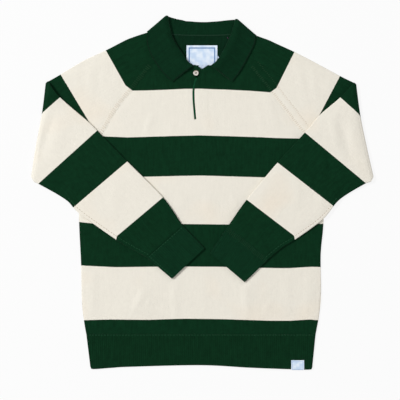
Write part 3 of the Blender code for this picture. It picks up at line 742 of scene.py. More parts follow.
def tube(name: str, outer: Array, inner: Array, finish: Material,
         grain: Array, stripe: Array | None = None) -> Object:
    """A cloth tube open at both ends, between an outer and an inner row of rings.

    Args:
        name: The object's name.
        outer: Outer points, sections by points around by 3.
        inner: Inner points, of the same shape.
        finish: The material.
        grain: UV place at each ring point, in metres.
        stripe: Count of stripe edges at each ring point.

    Returns:
        The object.
    """
    sections, around = outer.shape[:2]
    number, wall = ring_faces(sections, around)
    start = sections * around
    ends = []
    for row in (number[0], number[-1]):
        beside = np.roll(row, -1)
        ends.append(np.column_stack([row, row + start, beside + start, beside]))
    faces = np.vstack([wall, wall[:, ::-1] + start] + ends)
    points = np.vstack([outer.reshape(-1, 3), inner.reshape(-1, 3)])
    uv = grain.reshape(-1, 2)
    count = None if stripe is None else np.tile(stripe.ravel(), 2)
    return finish_mesh(name, points, faces.tolist(), finish,
                       grain=np.vstack([uv, uv]), stripe=count)


def flat_ring(line: Array, radius: float, columns: int,
              arc: Sequence[float]) -> tuple[Array, Array, Array]:
    """A ring round a section of a tube pressed flat: over its top, round an edge and back.

    Args:
        line: The section from one edge to the other.
        radius: Radius of its round edges.
        columns: Parts of each flat face.
        arc: Angles of the points round an edge, in degrees.

    Returns:
        Plan points, their offsets from the middle level, and their shares across.
    """
    inset = CLOTH.side_round / extent(line)
    shares = np.linspace(inset, 1 - inset, columns + 1)
    inner = along(line, shares)
    turn = np.radians(arc)[:, None]
    last = inner[-1] + unit(line[-1] - line[-2]) * radius * np.sin(turn)
    first = inner[0] + unit(line[0] - line[1]) * radius * np.sin(turn[::-1])
    flat, bend, ones = np.full(len(inner), radius), radius * np.cos(turn[:, 0]), np.ones(len(turn))
    return (np.vstack([inner, last, inner[::-1], first]),
            np.concatenate([flat, bend, -flat, bend[::-1]]),
            np.concatenate([shares, ones, shares[::-1], 0 * ones]))


# ------------ finishes

def linear(code: str) -> tuple[float, float, float, float]:
    """An sRGB hex colour as linear RGBA."""
    channels = [int(code.lstrip("#")[k:k + 2], 16) / 255 for k in (0, 2, 4)]
    red, green, blue = (c / 12.92 if c <= 0.04045 else ((c + 0.055) / 1.055) ** 2.4
                        for c in channels)
    return red, green, blue, 1.0


# Kinds of node with their settings
TIMES, PLUS, TIMES_PLUS, SINE, FOLD, SIZE, LEAST = (
    ("Math", {"operation": name}) for name in ("MULTIPLY", "ADD", "MULTIPLY_ADD", "SINE",
                                               "PINGPONG", "ABSOLUTE", "MINIMUM"))
SCALE, MIX = ("VectorMath", {"operation": "SCALE"}), ("Mix", {"data_type": "RGBA"})


def add_node(tree: NodeTree, kind: str, settings: dict | None = None, **links: object) -> Node:
    """Adds a shader node.

    Args:
        tree: The node tree.
        kind: The node's type name after ShaderNode.
        settings: Its properties, such as operation.
        links: A value, an output socket or a node with its first output, for each input. The
            name is the input's own in lower case with underscores, or i and its number.

    Returns:
        The node.
    """
    made = tree.nodes.new("ShaderNode" + kind)
    for key, value in (settings or {}).items():
        setattr(made, key, value)
    names = {}
    for k, socket in enumerate(made.inputs):
        names.setdefault(socket.name.lower().replace(" ", "_"), socket)
        names[f"i{k}"] = socket
    for key, value in links.items():
        if isinstance(value, Node):
            value = value.outputs[0]
        if isinstance(value, bpy.types.NodeSocket):
            tree.links.new(value, names[key])
        else:
            names[key].default_value = value
    return made


def fresh(name: str) -> tuple[Material, Adder]:
    """A new material, and the function that adds a node to its tree."""
    made = bpy.data.materials.new(name)
    made.use_nodes = True
    return made, partial(add_node, made.node_tree)


def finished(made: Material, colour: bpy.types.NodeSocket, height: Node, depth: float,
             own: dict[str, object]) -> Material:
    """Links a colour and a bump to a material's shader and sets the shader's own sockets.

    Args:
        made: The material.
        colour: The output that gives the colour.
        height: The node that gives the relief.
        depth: How deep the relief is, in metres.
        own: Values for the shader's own sockets, by name.

    Returns:
        The material.
    """
    tree = made.node_tree
    shader = tree.nodes["Principled BSDF"]
    for name, value in own.items():
        shader.inputs[name].default_value = value
    bump = add_node(tree, "Bump", distance=depth, height=height)
    tree.links.new(colour, shader.inputs["Base Color"])
    tree.links.new(bump.outputs[0], shader.inputs["Normal"])
    return made


def striped(node: Adder, waver: Node, edge: float) -> Node:
    """0 in the green stripes and 1 in the cream ones, by the count in the "stripe" attribute.

    Args:
        node: The function that adds a node.
        waver: A noise that makes the edges of the stripes uneven.
        edge: How soft the edges are.

    Returns:
        The node that gives the share of cream.
    """
    count = node("Attribute", {"attribute_name": "stripe"})
    sway = 0.008 * pi
    jog = node(*TIMES_PLUS, i0=waver, i1=sway, i2=-sway / 2)
    turn = node(*TIMES_PLUS, i0=count.outputs["Fac"], i1=pi, i2=jog)
    wave = node(*SINE, i0=turn)
    return node("MapRange", value=wave, from_min=edge, from_max=-edge)


@dataclass(frozen=True)
class CottonKnit:
    """Combed cotton jersey, dyed in the yarn: matt, with a short soft nap that takes the light.

    The wales and courses of the real knit are about 1.4 mm and 1.1 mm. They are drawn wider,
    because finer loops would not show.
    """

    name: str = "striped_cotton_jersey"
    green: str = "#0A2E1A"
    cream: str = "#EBE6DA"
    warm: str = "#EFE0CC"     # where the cream has yellowed
    striped: bool = True
    wale: float = 2.6
    course: float = 2.2
    rib: float = 0.0          # pitch of the ribs, whose furrows are darkened with painted shade, or 0 for jersey
    loop_height: float = 0.00010
    edge: float = 0.012
    green_life: float = 1.7
    cream_life: float = 0.17

    def make(self) -> Material:
        """Builds the material."""
        made, node = fresh(self.name)
        grain = node("UVMap", {"uv_map": "grain"})
        split = node("SeparateXYZ", vector=grain)
        across = node(*TIMES, i0=split.outputs[0], i1=1 / (self.wale * MM))
        down = node(*TIMES, i0=split.outputs[1], i1=1 / (self.course * MM))
        leg = node(*FOLD, i0=across, i1=0.5)
        slant = node(*TIMES_PLUS, i0=leg, i1=0.9, i2=down)
        loops = node(*SINE, i0=node(*TIMES, i0=slant, i1=TURN))
        furrow = node(*SINE, i0=node(*TIMES, i0=leg, i1=TURN))
        loops = node(*TIMES, i0=loops, i1=furrow)
        height = node(*TIMES_PLUS, i0=loops, i1=0.5, i2=furrow)

        # Uneven yarn and nap: clouds of 9 mm, fuzz of 1.5 mm and streaks along the wales
        place = node("TexCoord").outputs["Object"]
        cloud = node("TexNoise", vector=place, scale=110.0, detail=3.0, roughness=0.6)
        fuzz = node("TexNoise", vector=place, scale=650.0, detail=2.0, roughness=0.7)
        drawn = node("VectorMath", {"operation": "MULTIPLY"}, i0=grain, i1=(1.0, 0.12, 1.0))
        streak = node("TexNoise", vector=drawn, scale=260.0, detail=2.0)
        height = node(*TIMES_PLUS, i0=fuzz, i1=3.4, i2=height)
        height = node(*TIMES_PLUS, i0=cloud, i1=6.0, i2=height)
        life = node(*PLUS, i0=cloud, i1=fuzz)
        life = node(*PLUS, i0=life, i1=streak)
        tone = node(*TIMES_PLUS, i0=life, i1=self.green_life / 3, i2=1 - self.green_life / 2)
        # Painted shade: the colour is darker in the furrows between the ribs
        if self.rib:
            turn = node(*TIMES, i0=split.outputs[0], i1=pi / (self.rib * MM))
            crown = node(*SIZE, i0=node(*SINE, i0=turn))
            crown = node(*TIMES_PLUS, i0=crown, i1=0.20, i2=0.87)
            tone = node(*TIMES, i0=tone, i1=crown)
        yarn = node(*SCALE, i0=linear(self.green)[:3], scale=tone)
        if self.striped:
            broad = node("TexNoise", vector=place, scale=10.0, detail=1.0)
            aged = node("MapRange", value=broad, from_min=0.55, from_max=0.8, to_max=0.4)
            cream = node(*MIX, i0=aged, i6=linear(self.cream), i7=linear(self.warm)).outputs[2]
            tone = node(*TIMES_PLUS, i0=life, i1=self.cream_life / 3, i2=1 - self.cream_life / 2)
            cream = node(*SCALE, i0=cream, scale=tone)
            yarn = node(*MIX, i0=striped(node, fuzz, self.edge), i6=yarn, i7=cream)
        return finished(made, yarn.outputs[2 if self.striped else 0], height, self.loop_height,
                        {"Roughness": 0.9, "Specular IOR Level": 0.05, "Sheen Weight": 0.14,
                         "Sheen Roughness": 0.3, "Sheen Tint": linear("#C6DCCD")})


@dataclass(frozen=True)
class WovenSatin:
    """Damask label satin, woven in fine polyester: smooth with a soft gloss along the weft.

    Its woven border runs round it, inset from its edges. The UV map "grain" holds the place on
    the label in metres.
    """

    name: str
    width: float
    height: float
    ground: str = "#C6DAF2"
    bright: str = "#E2EDFA"
    border: str = "#6286B8"
    inset: float = 5.6
    line: float = 2.4
    turned: float = 0.0       # how much of its foot is turned under, with the border on it
    relief: float = 0.00003   # depth of the picks in metres

    def make(self) -> Material:
        """Builds the material."""
        made, node = fresh(self.name)
        grain = node("UVMap", {"uv_map": "grain"})
        split = node("SeparateXYZ", vector=grain)
        x, y = split.outputs[0], split.outputs[1]
        # Picks of the weft, drawn at 0.8 mm because the real 0.25 mm would not show
        picks = node(*SINE, i0=node(*TIMES, i0=y, i1=TURN / 0.0008))
        # The satin's floats catch the light in clouds of about 13 mm
        cloud = node("TexNoise", vector=grain, scale=75.0, detail=1.0)
        shine = node("MapRange", value=cloud, from_min=0.38, from_max=0.6)
        satin = node(*MIX, i0=shine, i6=linear(self.ground), i7=linear(self.bright)).outputs[2]
        edges = []
        for at, full, hidden in ((x, self.width, 0.0), (y, self.height, self.turned)):
            near = node(*PLUS, i0=at, i1=hidden * MM)
            far = node(*TIMES_PLUS, i0=at, i1=-1.0, i2=full * MM)
            edges.append(node(*LEAST, i0=near, i1=far))
        rim_at = node(*LEAST, i0=edges[0], i1=edges[1])
        off = node(*SIZE, i0=node(*PLUS, i0=rim_at, i1=-self.inset * MM))
        on_line = node("MapRange", value=off, from_min=self.line * MM * 0.6,
                       from_max=self.line * MM * 0.4)
        colour = node(*MIX, i0=on_line, i6=satin, i7=linear(self.border))
        return finished(made, colour.outputs[2], picks, self.relief,
                        {"Roughness": 0.45, "Sheen Weight": 0.1})


@dataclass(frozen=True)
class MotherOfPearl:
    """Shell cut and polished: grey-brown growth clouds under a gloss that turns with the light."""

    name: str = "mother_of_pearl"
    relief: float = 0.00003

    def make(self) -> Material:
        """Builds the material."""
        made, node = fresh(self.name)
        place = node("TexCoord").outputs["Object"]
        cloud = node("TexNoise", vector=place, scale=190.0, detail=2.0, distortion=1.2)
        ramp = node("ValToRGB", fac=cloud)
        for stop, (at, code) in zip(ramp.color_ramp.elements, ((0.38, "#8A7463"),
                                                               (0.56, "#EFEAE2"))):
            stop.position, stop.color = at, linear(code)
        return finished(made, ramp.outputs[0], cloud, self.relief,
                        {"Roughness": 0.22, "Coat Weight": 0.5, "Coat Roughness": 0.08})


@dataclass(frozen=True)
class SewingThread:
    """Spun cotton thread: matt, with the twist of its plies. It is dyed to go with its cloth; the
    near-black linking thread and the seam thread's taupe on cream are partly painted shade.
    """

    name: str
    on_green: str
    on_cream: str | None = None
    relief: float = 0.00004

    def make(self) -> Material:
        """Builds the material."""
        made, node = fresh(self.name)
        place = node("TexCoord").outputs["Object"]
        twist = node("TexWave", {"bands_direction": "DIAGONAL"}, vector=place,
                     scale=900.0, distortion=1.0).outputs["Fac"]
        tone = node(*TIMES_PLUS, i0=twist, i1=0.2, i2=0.85)
        share = striped(node, twist, 0.012) if self.on_cream else 0.0
        colour = node(*MIX, i0=share, i6=linear(self.on_green),
                      i7=linear(self.on_cream or self.on_green))
        toned = node(*SCALE, i0=colour.outputs[2], scale=tone)
        return finished(made, toned.outputs[0], twist, self.relief,
                        {"Roughness": 0.7, "Specular IOR Level": 0.2})


@dataclass(frozen=True)
class LightTable:
    """The white acrylic of a light table: matt, and lit evenly from below."""

    name: str = "light_table_acrylic"
    colour: str = "#5C5C5C"
    glow: float = 0.86
    relief: float = 0.000005

    def make(self) -> Material:
        """Builds the material."""
        made, node = fresh(self.name)
        place = node("TexCoord").outputs["Object"]
        tooth = node("TexNoise", vector=place, scale=900.0, detail=2.0)
        tone = node(*TIMES_PLUS, i0=tooth, i1=0.1, i2=0.95)
        colour = node(*SCALE, i0=linear(self.colour)[:3], scale=tone)
        return finished(made, colour.outputs[0], tooth, self.relief,
                        {"Roughness": 0.95, "Specular IOR Level": 0.1,
                         "Emission Color": (1.0, 1.0, 1.0, 1.0), "Emission Strength": self.glow})


# ------------ creases

def creases(*rows: Sequence[float]) -> tuple[Crease, ...]:
    """Creases from rows of numbers: x and y of each point, then width, height and lean."""
    return tuple(Crease(tuple(zip(row[:-3:2], row[1:-3:2])), *row[-3:]) for row in rows)


# Of the front of the body, then of each sleeve above its fold and on its folded forearm
BODY_CREASES = creases(
    (-119, -198, -134, -226, -146, -252, 9, 1.1, -0.35),
    (-104, -214, -116, -240, -120, -264, 8, 0.5, -0.2),
    (-58, -176, -60, -222, -54, -270, 8, 0.8, -0.3), (3.7, -198, 5, -232, 2, -272, 8, 0.3, -0.2),
    (93, -172, 90, -222, 94, -266, 8, 1.1, -0.4), (127, -260, 134, -244, 148, -224, 7, 0.5, 0),
    (176, -168, 180, -214, 172, -262, 12, 0.6, 0), (-228, -158, -230, -210, -224, -276, 9, 0.6, 0),
    (222, -160, 225, -204, 218, -270, 9, 0.5, 0), (136, 206, 148, 166, 160, 128, 10, 0.6, 0.3),
    (112, 200, 120, 160, 132, 122, 10, 0.4, -0.3), (-103, 172, -112, 146, -117, 116, 7, 0.7, -0.3),
    (-60, 150, -66, 132, -64, 106, 7, 0.4, 0), (6, 152, 10, 138, 8, 116, 5, 0.4, 0),
    (62, 8, 70, -26, 66, -54, 8, 0.5, -0.3), (-52, 10, -48, -22, -38, -48, 8, 0.4, -0.3),
    (10, 24, 14, -20, 8, -60, 11, 0.4, 0),
)
TUCKS = creases((3, 251, -3, 244, -9, 237, 4, -1, 0),)
UPPER_CREASES = {
    Side.LEFT: creases(
        (-232, 280, -236, 236, -228, 190, 11, 0.6, -0.3),
        (-203, 284, -207, 240, -200, 194, 9, 0.45, -0.3),
        (-178, 258, -182, 226, -190, 190, 10, 0.4, 0),
        (-262, 258, -262, 230, -256, 200, 8, 0.4, 0),
    ),
    Side.RIGHT: creases(
        (226, 276, 233, 236, 240, 186, 11, 0.8, -0.35),
        (250, 266, 254, 236, 260, 196, 9, 0.5, -0.2), (276, 250, 268, 232, 264, 206, 6, 0.9, -0.3),
        (196, 276, 206, 236, 216, 180, 10, 0.5, -0.3),
    ),
}
FOREARM_CREASES = {
    Side.LEFT: creases(
        (-306, 174, -325, 122, -341, 66, 11, -1.2, 0.2),
        (-286, 158, -300, 112, -318, 58, 13, 0.5, 0), (-258, 90, -260, 46, -254, 2, 9, 0.8, -0.3),
        (-236, 66, -240, 20, -230, -10, 8, 0.5, -0.2),
        (-176, 30, -186, -22, -182, -60, 10, 0.5, 0), (-108, -30, -112, -66, -104, -96, 8, 0.5, 0),
    ),
    Side.RIGHT: creases(
        (268, 174, 275, 132, 282, 86, 11, 0.8, -0.3),
        (286, 160, 294, 130, 304, 92, 315, 58, 9, -1, 0),
        (310, 160, 316, 122, 330, 76, 10, 0.7, -0.2), (246, 96, 252, 48, 246, 4, 9, 0.7, -0.3),
        (264, 90, 266, 44, 262, 2, 8, -0.8, 0), (284, 66, 290, 38, 288, 14, 8, 0.7, 0),
        (240, 8, 252, -8, 246, -30, 8, 0.6, 0), (118, -52, 122, -78, 112, -104, 8, 0.7, 0),
        (196, 36, 200, -4, 190, -40, 10, 0.5, 0),
    ),
}


def leaf_outline(side: Side) -> Array:
    """Outline in plan of a collar leaf."""
    rows = collar_rows(side)
    rolls, edges = [r.roll for r in rows], [r.edge for r in rows]
    return np.array(rolls + edges[::-1] + rolls[:1], float)


def clear_of(xy: Array, rings: Sequence[Array]) -> Array:
    """Distance of plan points from closed outlines, and 0 inside them."""
    clear = np.full(xy.shape[:-1], 1e9)
    for ring in rings:
        distance = nearest(xy, ring)[0]
        inside = np.zeros(xy.shape[:-1], bool)
        for (ax, ay), (bx, by) in zip(ring[:-1], ring[1:]):
            spans = (ay > xy[..., 1]) != (by > xy[..., 1])
            cut = ax + (xy[..., 1] - ay) * (bx - ax) / (by - ay if by != ay else 1e-9)
            inside ^= spans & (xy[..., 0] < cut)
        clear = np.minimum(clear, np.where(inside, 0.0, distance))
    return clear


def raglan_line(side: Side, shares: Sequence[float]) -> Array:
    """The seam between body and sleeve, from its corner at the neck down to the armpit."""
    return sample([collar_rows(side)[3].seam] + marks(OUTLINE.raglan, side), shares)


def neck_line(side: Side, first: int, last: int) -> Array:
    """The neck seam between two rows of the collar's table."""
    rows = collar_rows(side)
    step = 1 if last >= first else -1
    return np.array([rows[k].seam for k in range(first, last + step, step)], float)


def side_line(side: Side) -> Array:
    """The side of the body and hem, from the armpit down."""
    return np.array(marks(OUTLINE.side_seam, side) + marks(OUTLINE.hem_side, side), float)


def beside_body(plan: Array) -> Array:
    """Distance of plan points from the sides of the body."""
    return np.minimum(*(nearest(plan, side_line(side))[0] for side in Side))


def covered() -> list[Array]:
    """Outlines of what lies on the front layer."""
    return [forearm_outline(s) for s in Side] + [leaf_outline(s) for s in Side]


@dataclass(frozen=True)
class FrontForm:
    """Height of the body's front layer over its flat level, with its creases and facing.

    The facing is the second layer behind the button side of the placket: its edge shows through
    as a low step.
    """

    puff: float = 0.55
    facing: tuple[float, float, float] = (-12.0, 12.5, 155.0)  # its left, right and foot
    facing_height: float = 0.5

    def at(self, xy: Array) -> Array:
        """The height at plan points."""
        clear = clear_of(xy, covered())
        free = smoothstep(clear, 0.5, 15.0)
        for side in Side:
            free = free * smoothstep(nearest(xy, side_line(side))[0], 1.0, 15.0)
            free = free * smoothstep(nearest(xy, raglan_line(side, even(24)))[0], 0.5, 13.0)
        left, right, bottom = self.facing
        x, y = xy[..., 0], xy[..., 1]
        lean = (y - bottom) * 0.03
        step = (smoothstep(x, left - 1.5, left + 1.5)
                * (1 - smoothstep(x + lean, right - 1.4, right + 1.4))
                * smoothstep(y, bottom - 1.5, bottom + 1.5))
        return (front_rise(xy) + free * (self.puff + relief(xy, BODY_CREASES))
                + self.facing_height * step * smoothstep(clear, 0.0, 5.0) + relief(xy, TUCKS))


FRONT_FORM = FrontForm()


# ------------ body

@dataclass
class Panels:
    """The front and back of the body, each knitted to shape with raglan edges."""

    finish: Material
    shaded_reverse: Material  # the purl side, which shows inside the neck, with its green darkened as painted shade of the neck's hollow
    step: float = 4.2
    slit_width: float = 4.5
    middle_x: float = -14.6
    hem_y: float = -296.9
    armpit_y: float = 60.0
    slit_foot: float = 153.5
    side_run: float = 356.0   # length of a side seam, then of a raglan seam, of half the width
    raglan_run: float = 332.0
    half_run: float = 228.0
    neck_run: float = 52.0    # and of the back's neck beside the collar

    def outer_edge(self, side: Side) -> tuple[Array, int, Array]:
        """The edge from the hem seam over the armpit to the neck corner.

        Args:
            side: Left or right.

        Returns:
            The edge's points, the row of the armpit, and the shares of the raglan rows.
        """
        raglan_rows = rimmed(self.raglan_run, self.step, first=False)
        raglan = raglan_line(side, 1 - raglan_rows[::-1])[::-1]
        raglan = shifted(raglan, CLOTH.seam / 2, (0.0, 0.0))
        edge = sample(marks(OUTLINE.side_seam, side)[::-1],
                      rimmed(self.side_run, self.step, last=False))
        return np.vstack([edge, raglan[1:]]), len(edge) - 1, raglan_rows

    def half_front(self, side: Side) -> tuple[Array, int]:
        """Plan of half the front, from its outer edge to the slit.

        Args:
            side: Left or right.

        Returns:
            The grid and the row of the slit's foot.
        """
        outer, armpit, raglan_rows = self.outer_edge(side)
        foot = armpit + int(np.searchsorted(raglan_rows, 1 / 3))
        low = (outer[:armpit + 1, 1] - outer[0, 1]) / (outer[armpit, 1] - outer[0, 1])
        low = self.hem_y + low * (self.armpit_y - self.hem_y)
        part = raglan_rows[:foot - armpit + 1] / raglan_rows[foot - armpit]
        mid = self.armpit_y + part[1:] * (self.slit_foot - self.armpit_y)
        rest = raglan_rows[foot - armpit:]
        rest = (rest - rest[0]) / (1 - rest[0])
        slit = sample(OUTLINE.slit[::-1], rest)[1:]
        column = np.concatenate([low, mid])
        middle = np.vstack([np.column_stack([np.full(len(column), self.middle_x), column]), slit])
        width = np.full(len(middle), self.slit_width)
        width[-len(slit):] *= 1 - 0.93 * smoothstep(rest[1:], 0.80, 0.90)
        middle[:, 0] += side.sign * width / 2
        neck = shifted(neck_line(side, 3, 0), CLOTH.seam / 2, (side.sign * 150.0, 200.0))
        neck[0] = outer[-1]
        top = np.vstack([neck, marks(OUTLINE.neck_points, side), middle[-1:]])
        shares = rimmed(self.half_run, self.step)
        grid = coons(along([outer[0], middle[0]], shares), along(top, shares), outer, middle)
        return grid, foot

    def sewn_distance(self, plan: Array, neck: Sequence[Array]) -> Array:
        """Distance of plan points from the raglan, hem and neck seams."""
        lines = [raglan_line(side, even(40)) for side in Side] + list(neck)
        return np.minimum.reduce([np.abs(plan[..., 1] - self.hem_y)]
                                 + [nearest(plan, line)[0] for line in lines])

    def front(self) -> Object:
        """Builds the front panel with its slit."""
        left, foot = self.half_front(Side.LEFT)
        right = self.half_front(Side.RIGHT)[0][:, ::-1]
        plan = np.concatenate([left, right], axis=1)
        keep = np.ones((plan.shape[0] - 1, plan.shape[1] - 1), bool)
        keep[foot:, left.shape[1] - 1] = False
        slit = [left[foot:, -1], right[foot:, 0]]
        necks = [left[-1], right[-1]]
        sewn = self.sewn_distance(plan, slit + necks)
        beside = beside_body(plan)
        base = PITCH + collar_lift(plan) + FRONT_FORM.at(plan)
        low = base - side_close(beside)
        high = base + CLOTH.wall - np.maximum(rim(sewn), side_drop(beside))
        obj = shell("front_panel_cloth", plan, low, high, self.finish, keep,
                    plan * MM, BODY_STRIPES.colour_at(plan))
        return dressed(obj, "striped_knit", "front_panel")

    def back(self) -> Object:
        """Builds the back panel."""
        sides = []
        for side in Side:
            edge = self.outer_edge(side)[0]
            neck = along(neck_line(side, 3, 5), rimmed(self.neck_run, self.step, first=False))
            sides.append(np.vstack([edge, shifted(neck, CLOTH.seam / 2, (0.0, 280.0))[1:]]))
        left, right = sides
        seam = np.array([left[-1]] + [s.seam for s in OUTLINE.collar_back] + [right[-1]])
        seam[1:-1] = shifted(seam, CLOTH.seam / 2, (0.0, 0.0))[1:-1]
        width = float(right[0, 0] - left[0, 0])
        shares = rimmed(width, self.step * 1.2)
        plan = coons(along([left[0], right[0]], shares), along(seam, shares), left, right)
        necks = [neck_line(side, 3, 5) for side in Side] + [seam]
        sewn = self.sewn_distance(plan, necks)
        beside = beside_body(plan)
        lift = collar_lift(plan)
        low = lift + np.maximum(rim(sewn) * 0.5, side_drop(beside))
        high = lift + CLOTH.wall - rim(sewn) * 0.5 + side_close(beside)
        obj = shell("back_panel_cloth", plan, low, high, self.finish, None,
                    plan * MM, BODY_STRIPES.colour_at(plan))
        # Faces that look up, as inside the neck, take the darker reverse: the purl side, partly
        # painted shade
        obj.data.materials.append(self.shaded_reverse)
        for face in obj.data.polygons:
            face.material_index = int(face.normal.z > 0.5)
        return dressed(obj, "striped_knit", "back_panel")


def dressed(obj: Object, slot: str, *nodes: str) -> Object:
    """Makes a piece ride on the shirt and stand for its CAD nodes."""
    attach(obj, "root")
    if nodes:
        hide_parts(*nodes)
    LOG.info("%s: %d faces", obj.name, len(obj.data.polygons))
    return obj


@dataclass
class Hem:
    """The rib band round the bottom of the body, front and back."""

    finish: Material
    width: float = 480.0
    depth: float = 70.0

    def plan(self, columns: int, rows: Array) -> Array:
        """The band's plan between its seam and its lower edge."""
        top_left, low_left = marks(OUTLINE.hem_side, Side.LEFT)
        top_right, low_right = marks(OUTLINE.hem_side, Side.RIGHT)
        top = along([top_left, top_right], even(columns))
        bottom = sample([low_left, *OUTLINE.hem_bottom, low_right], even(columns))
        return bottom[None] + (top - bottom)[None] * rows[:, None, None]

    def side(self, layer: Layer) -> Object:
        """Builds the front or the back of the band."""
        front = layer is Layer.FRONT
        place, valley = RIB.furrows(self.width)
        rows = rimmed(self.depth, 7.0)
        plan = self.plan(len(place) - 1, rows)
        ends = smoothstep(np.minimum(rows, 1 - rows) * self.depth, 0.0, 1.5)
        valley = valley[None, :] * np.maximum(ends[:, None], 0.35)
        beside = beside_body(plan)
        sewn = np.minimum(np.abs(plan[..., 1] - plan[-1, :, 1].mean()),
                          nearest(plan, plan[0, ::8])[0])
        round_edge = rim(sewn)
        if front:
            base = PITCH + FRONT_FORM.at(plan)
            low = base - side_close(beside)
            drop = np.maximum(round_edge + valley * (1 - 0.5 * round_edge), side_drop(beside))
            high = base + CLOTH.wall - np.minimum(drop, CLOTH.wall - 0.12)
        else:
            low = np.maximum(round_edge * 0.5, side_drop(beside))
            high = CLOTH.wall + side_close(beside) - round_edge * 0.5
        name = "hem_" + layer.value
        grain = np.stack(np.broadcast_arrays(place * RIB.pitch, plan[..., 1]), axis=-1)
        obj = shell(name + "_rib", plan, low, high, self.finish, None, grain * MM)
        return dressed(obj, "green_rib", name)


# ------------ sleeves

@dataclass
class Sleeve:
    """A raglan sleeve: a tube pressed flat and folded over the front near the elbow."""

    side: Side
    finish: Material
    across: int = 62
    step: float = 5.0
    fold_parts: int = 10
    crowding: float = 1.25
    puff: float = 0.9
    corner: float = 3.5       # how far the fold's axis runs on past its outer edge at the top
    foot: float = 4.8         # and at its foot
    underarm: float = 6.8     # from the forearm's lower edge to its seam
    press: float = 0.8        # how much of a rim's drop a sewn end has
    upper_run: float = 240.0  # length and width above the fold, then of the forearm
    upper_width: float = 250.0
    fore_run: float = 400.0
    fore_width: float = 160.0
    arc: tuple[float, ...] = (25.0, 50.0, 75.0, 90.0, 105.0, 130.0, 155.0)
    # How far the forearm stands off near the fold's top end, the width of the band of narrowed
    # stitches beside the raglan seam, and the area of the cloth in square metres
    loft: ClassVar[dict[Side, float]] = {Side.LEFT: 5.2, Side.RIGHT: 0.3}
    narrowed: ClassVar[dict[Side, float]] = {Side.LEFT: 9.0, Side.RIGHT: 19.0}
    cut: ClassVar[dict[Side, float]] = {Side.LEFT: 0.183, Side.RIGHT: 0.176}

    def overrun(self, shares: Array) -> Array:
        """How far the fold's axis is shifted along its run at shares across the sleeve."""
        return (self.foot * np.clip(1 - (1 - shares) / 0.1, 0.0, 1.0)
                - self.corner * np.clip(1 - shares / 0.1, 0.0, 1.0))

    def sections(self) -> tuple[Array, Array, Array, Array]:
        """Plan of the sections above and below the fold, and the fold's normal and run."""
        side = self.side
        fold_marks = np.array(marks(OUTLINE.fold, side))
        run = unit(fold_marks[-1] - fold_marks[0])
        normal = np.array((run[1], -run[0]))
        normal = normal if normal[0] * side.sign > 0 else -normal
        neck = shifted(neck_line(side, 5, 3), CLOTH.seam / 2, (side.sign * 160.0, 300.0))
        raglan = shifted(raglan_line(side, even(80)), CLOTH.seam / 2, (side.sign * 300.0, 250.0))
        shares = even(self.across)
        root = along(np.vstack([neck[:-1], raglan]), shares)
        fold = sample(fold_marks - normal * CLOTH.fold_height, shares)
        fold = fold + run * self.overrun(shares)[:, None]
        steps = rimmed(self.upper_run, self.step, last=False)
        overarm = sample([root[0]] + marks(OUTLINE.overarm, side)[:-1] + [fold[0]], steps)
        underarm = root[-1] + (fold[-1] - root[-1]) * steps[:, None]
        upper = coons(overarm, underarm, root, fold).transpose(1, 0, 2)

        seam = along(marks(OUTLINE.cuff[:2], side), shares)
        steps = rimmed(1.0, 0.0125, False, False) ** self.crowding
        ends = np.array([1.7, 1.0, 0.5, 0.0]) / self.fore_run
        steps = np.unique(np.concatenate([steps[:-1], 1 - ends]))
        top = sample([fold[0]] + marks(OUTLINE.forearm_top, side)[1:], steps)
        bottom = sample([fold[-1]] + marks(OUTLINE.forearm_bottom, side)[1:], steps)
        lower = coons(top, bottom, fold, seam).transpose(1, 0, 2)
        end = unit(lower[-1].mean(axis=0) - lower[-3].mean(axis=0))
        lower[-1] = lower[-1] - end * CLOTH.seam / 2
        return upper, lower, normal, run

    def upper_height(self, xy: Array, offset: Array, across: Array) -> Array:
        """Height of the part above the fold at an offset from its middle level."""
        front = np.clip((offset + CLOTH.side_round) / (2 * CLOTH.side_round), 0.0, 1.0)
        clear = clear_of(xy, covered())
        sewn = nearest(xy, raglan_line(self.side, even(24)))[0]
        free = smoothstep(clear, 0.5, 15.0) * smoothstep(sewn, 0.5, 14.0)
        free = free * smoothstep(np.minimum(across, 1 - across) * self.upper_width, 1.0, 22.0)
        # The narrowed stitches beside the raglan seam make a low band, to a furrow at its far side
        band = self.narrowed[self.side]
        raised = 0.25 * smoothstep(sewn, 1.0, 4.0) * (1 - smoothstep(sewn, band - 3.0, band + 2.0))
        furrow = 0.25 * np.exp(-((sewn - band - 2.0) / 2.0) ** 2)
        marked = smoothstep(clear, 0.0, 4.0) * (raised - furrow)
        own = free * (self.puff + relief(xy, UPPER_CREASES[self.side])) + marked
        rise = front_rise(xy) + own
        return CLOTH.middle + offset + collar_lift(xy) + rise * front

    def fore_height(self, xy: Array, offset: Array, across: Array, down: float) -> Array:
        """Height of the folded forearm, whose back lies on top."""
        top = np.clip((CLOTH.side_round - offset) / (2 * CLOTH.side_round), 0.0, 1.0)
        free = smoothstep(np.minimum(across, 1 - across) * self.fore_width, 1.0, 20.0)
        free = free * smoothstep(down * self.fore_run, 0.0, 30.0)
        free = free * smoothstep((1 - down) * self.fore_run, 0.0, 16.0)
        own = free * (self.puff + relief(xy, FOREARM_CREASES[self.side]))
        # The underarm seam is a furrow inside the lower edge
        sewn = nearest(xy, np.array(marks(OUTLINE.forearm_bottom, self.side)[3:]))[0]
        own = own - 0.3 * np.exp(-((sewn - self.underarm) / 1.6) ** 2)
        # Near the fold's top end the forearm stands off the sleeve below it
        corner = np.array(marks(OUTLINE.forearm_top, self.side)[:2]).mean(axis=0)
        stand = self.loft[self.side] * np.exp(-np.sum((xy - corner) ** 2, axis=-1) / 26.0 ** 2)
        stand = (stand + CLOTH.loose) * smoothstep(down * self.fore_run, 0.0, 14.0)
        reach = CLOTH.fold_height - (CLOTH.middle + offset)
        return (CLOTH.fold_height + reach + front_rise(xy) - forearm_sag(xy, self.side)
                + own * top + stand)

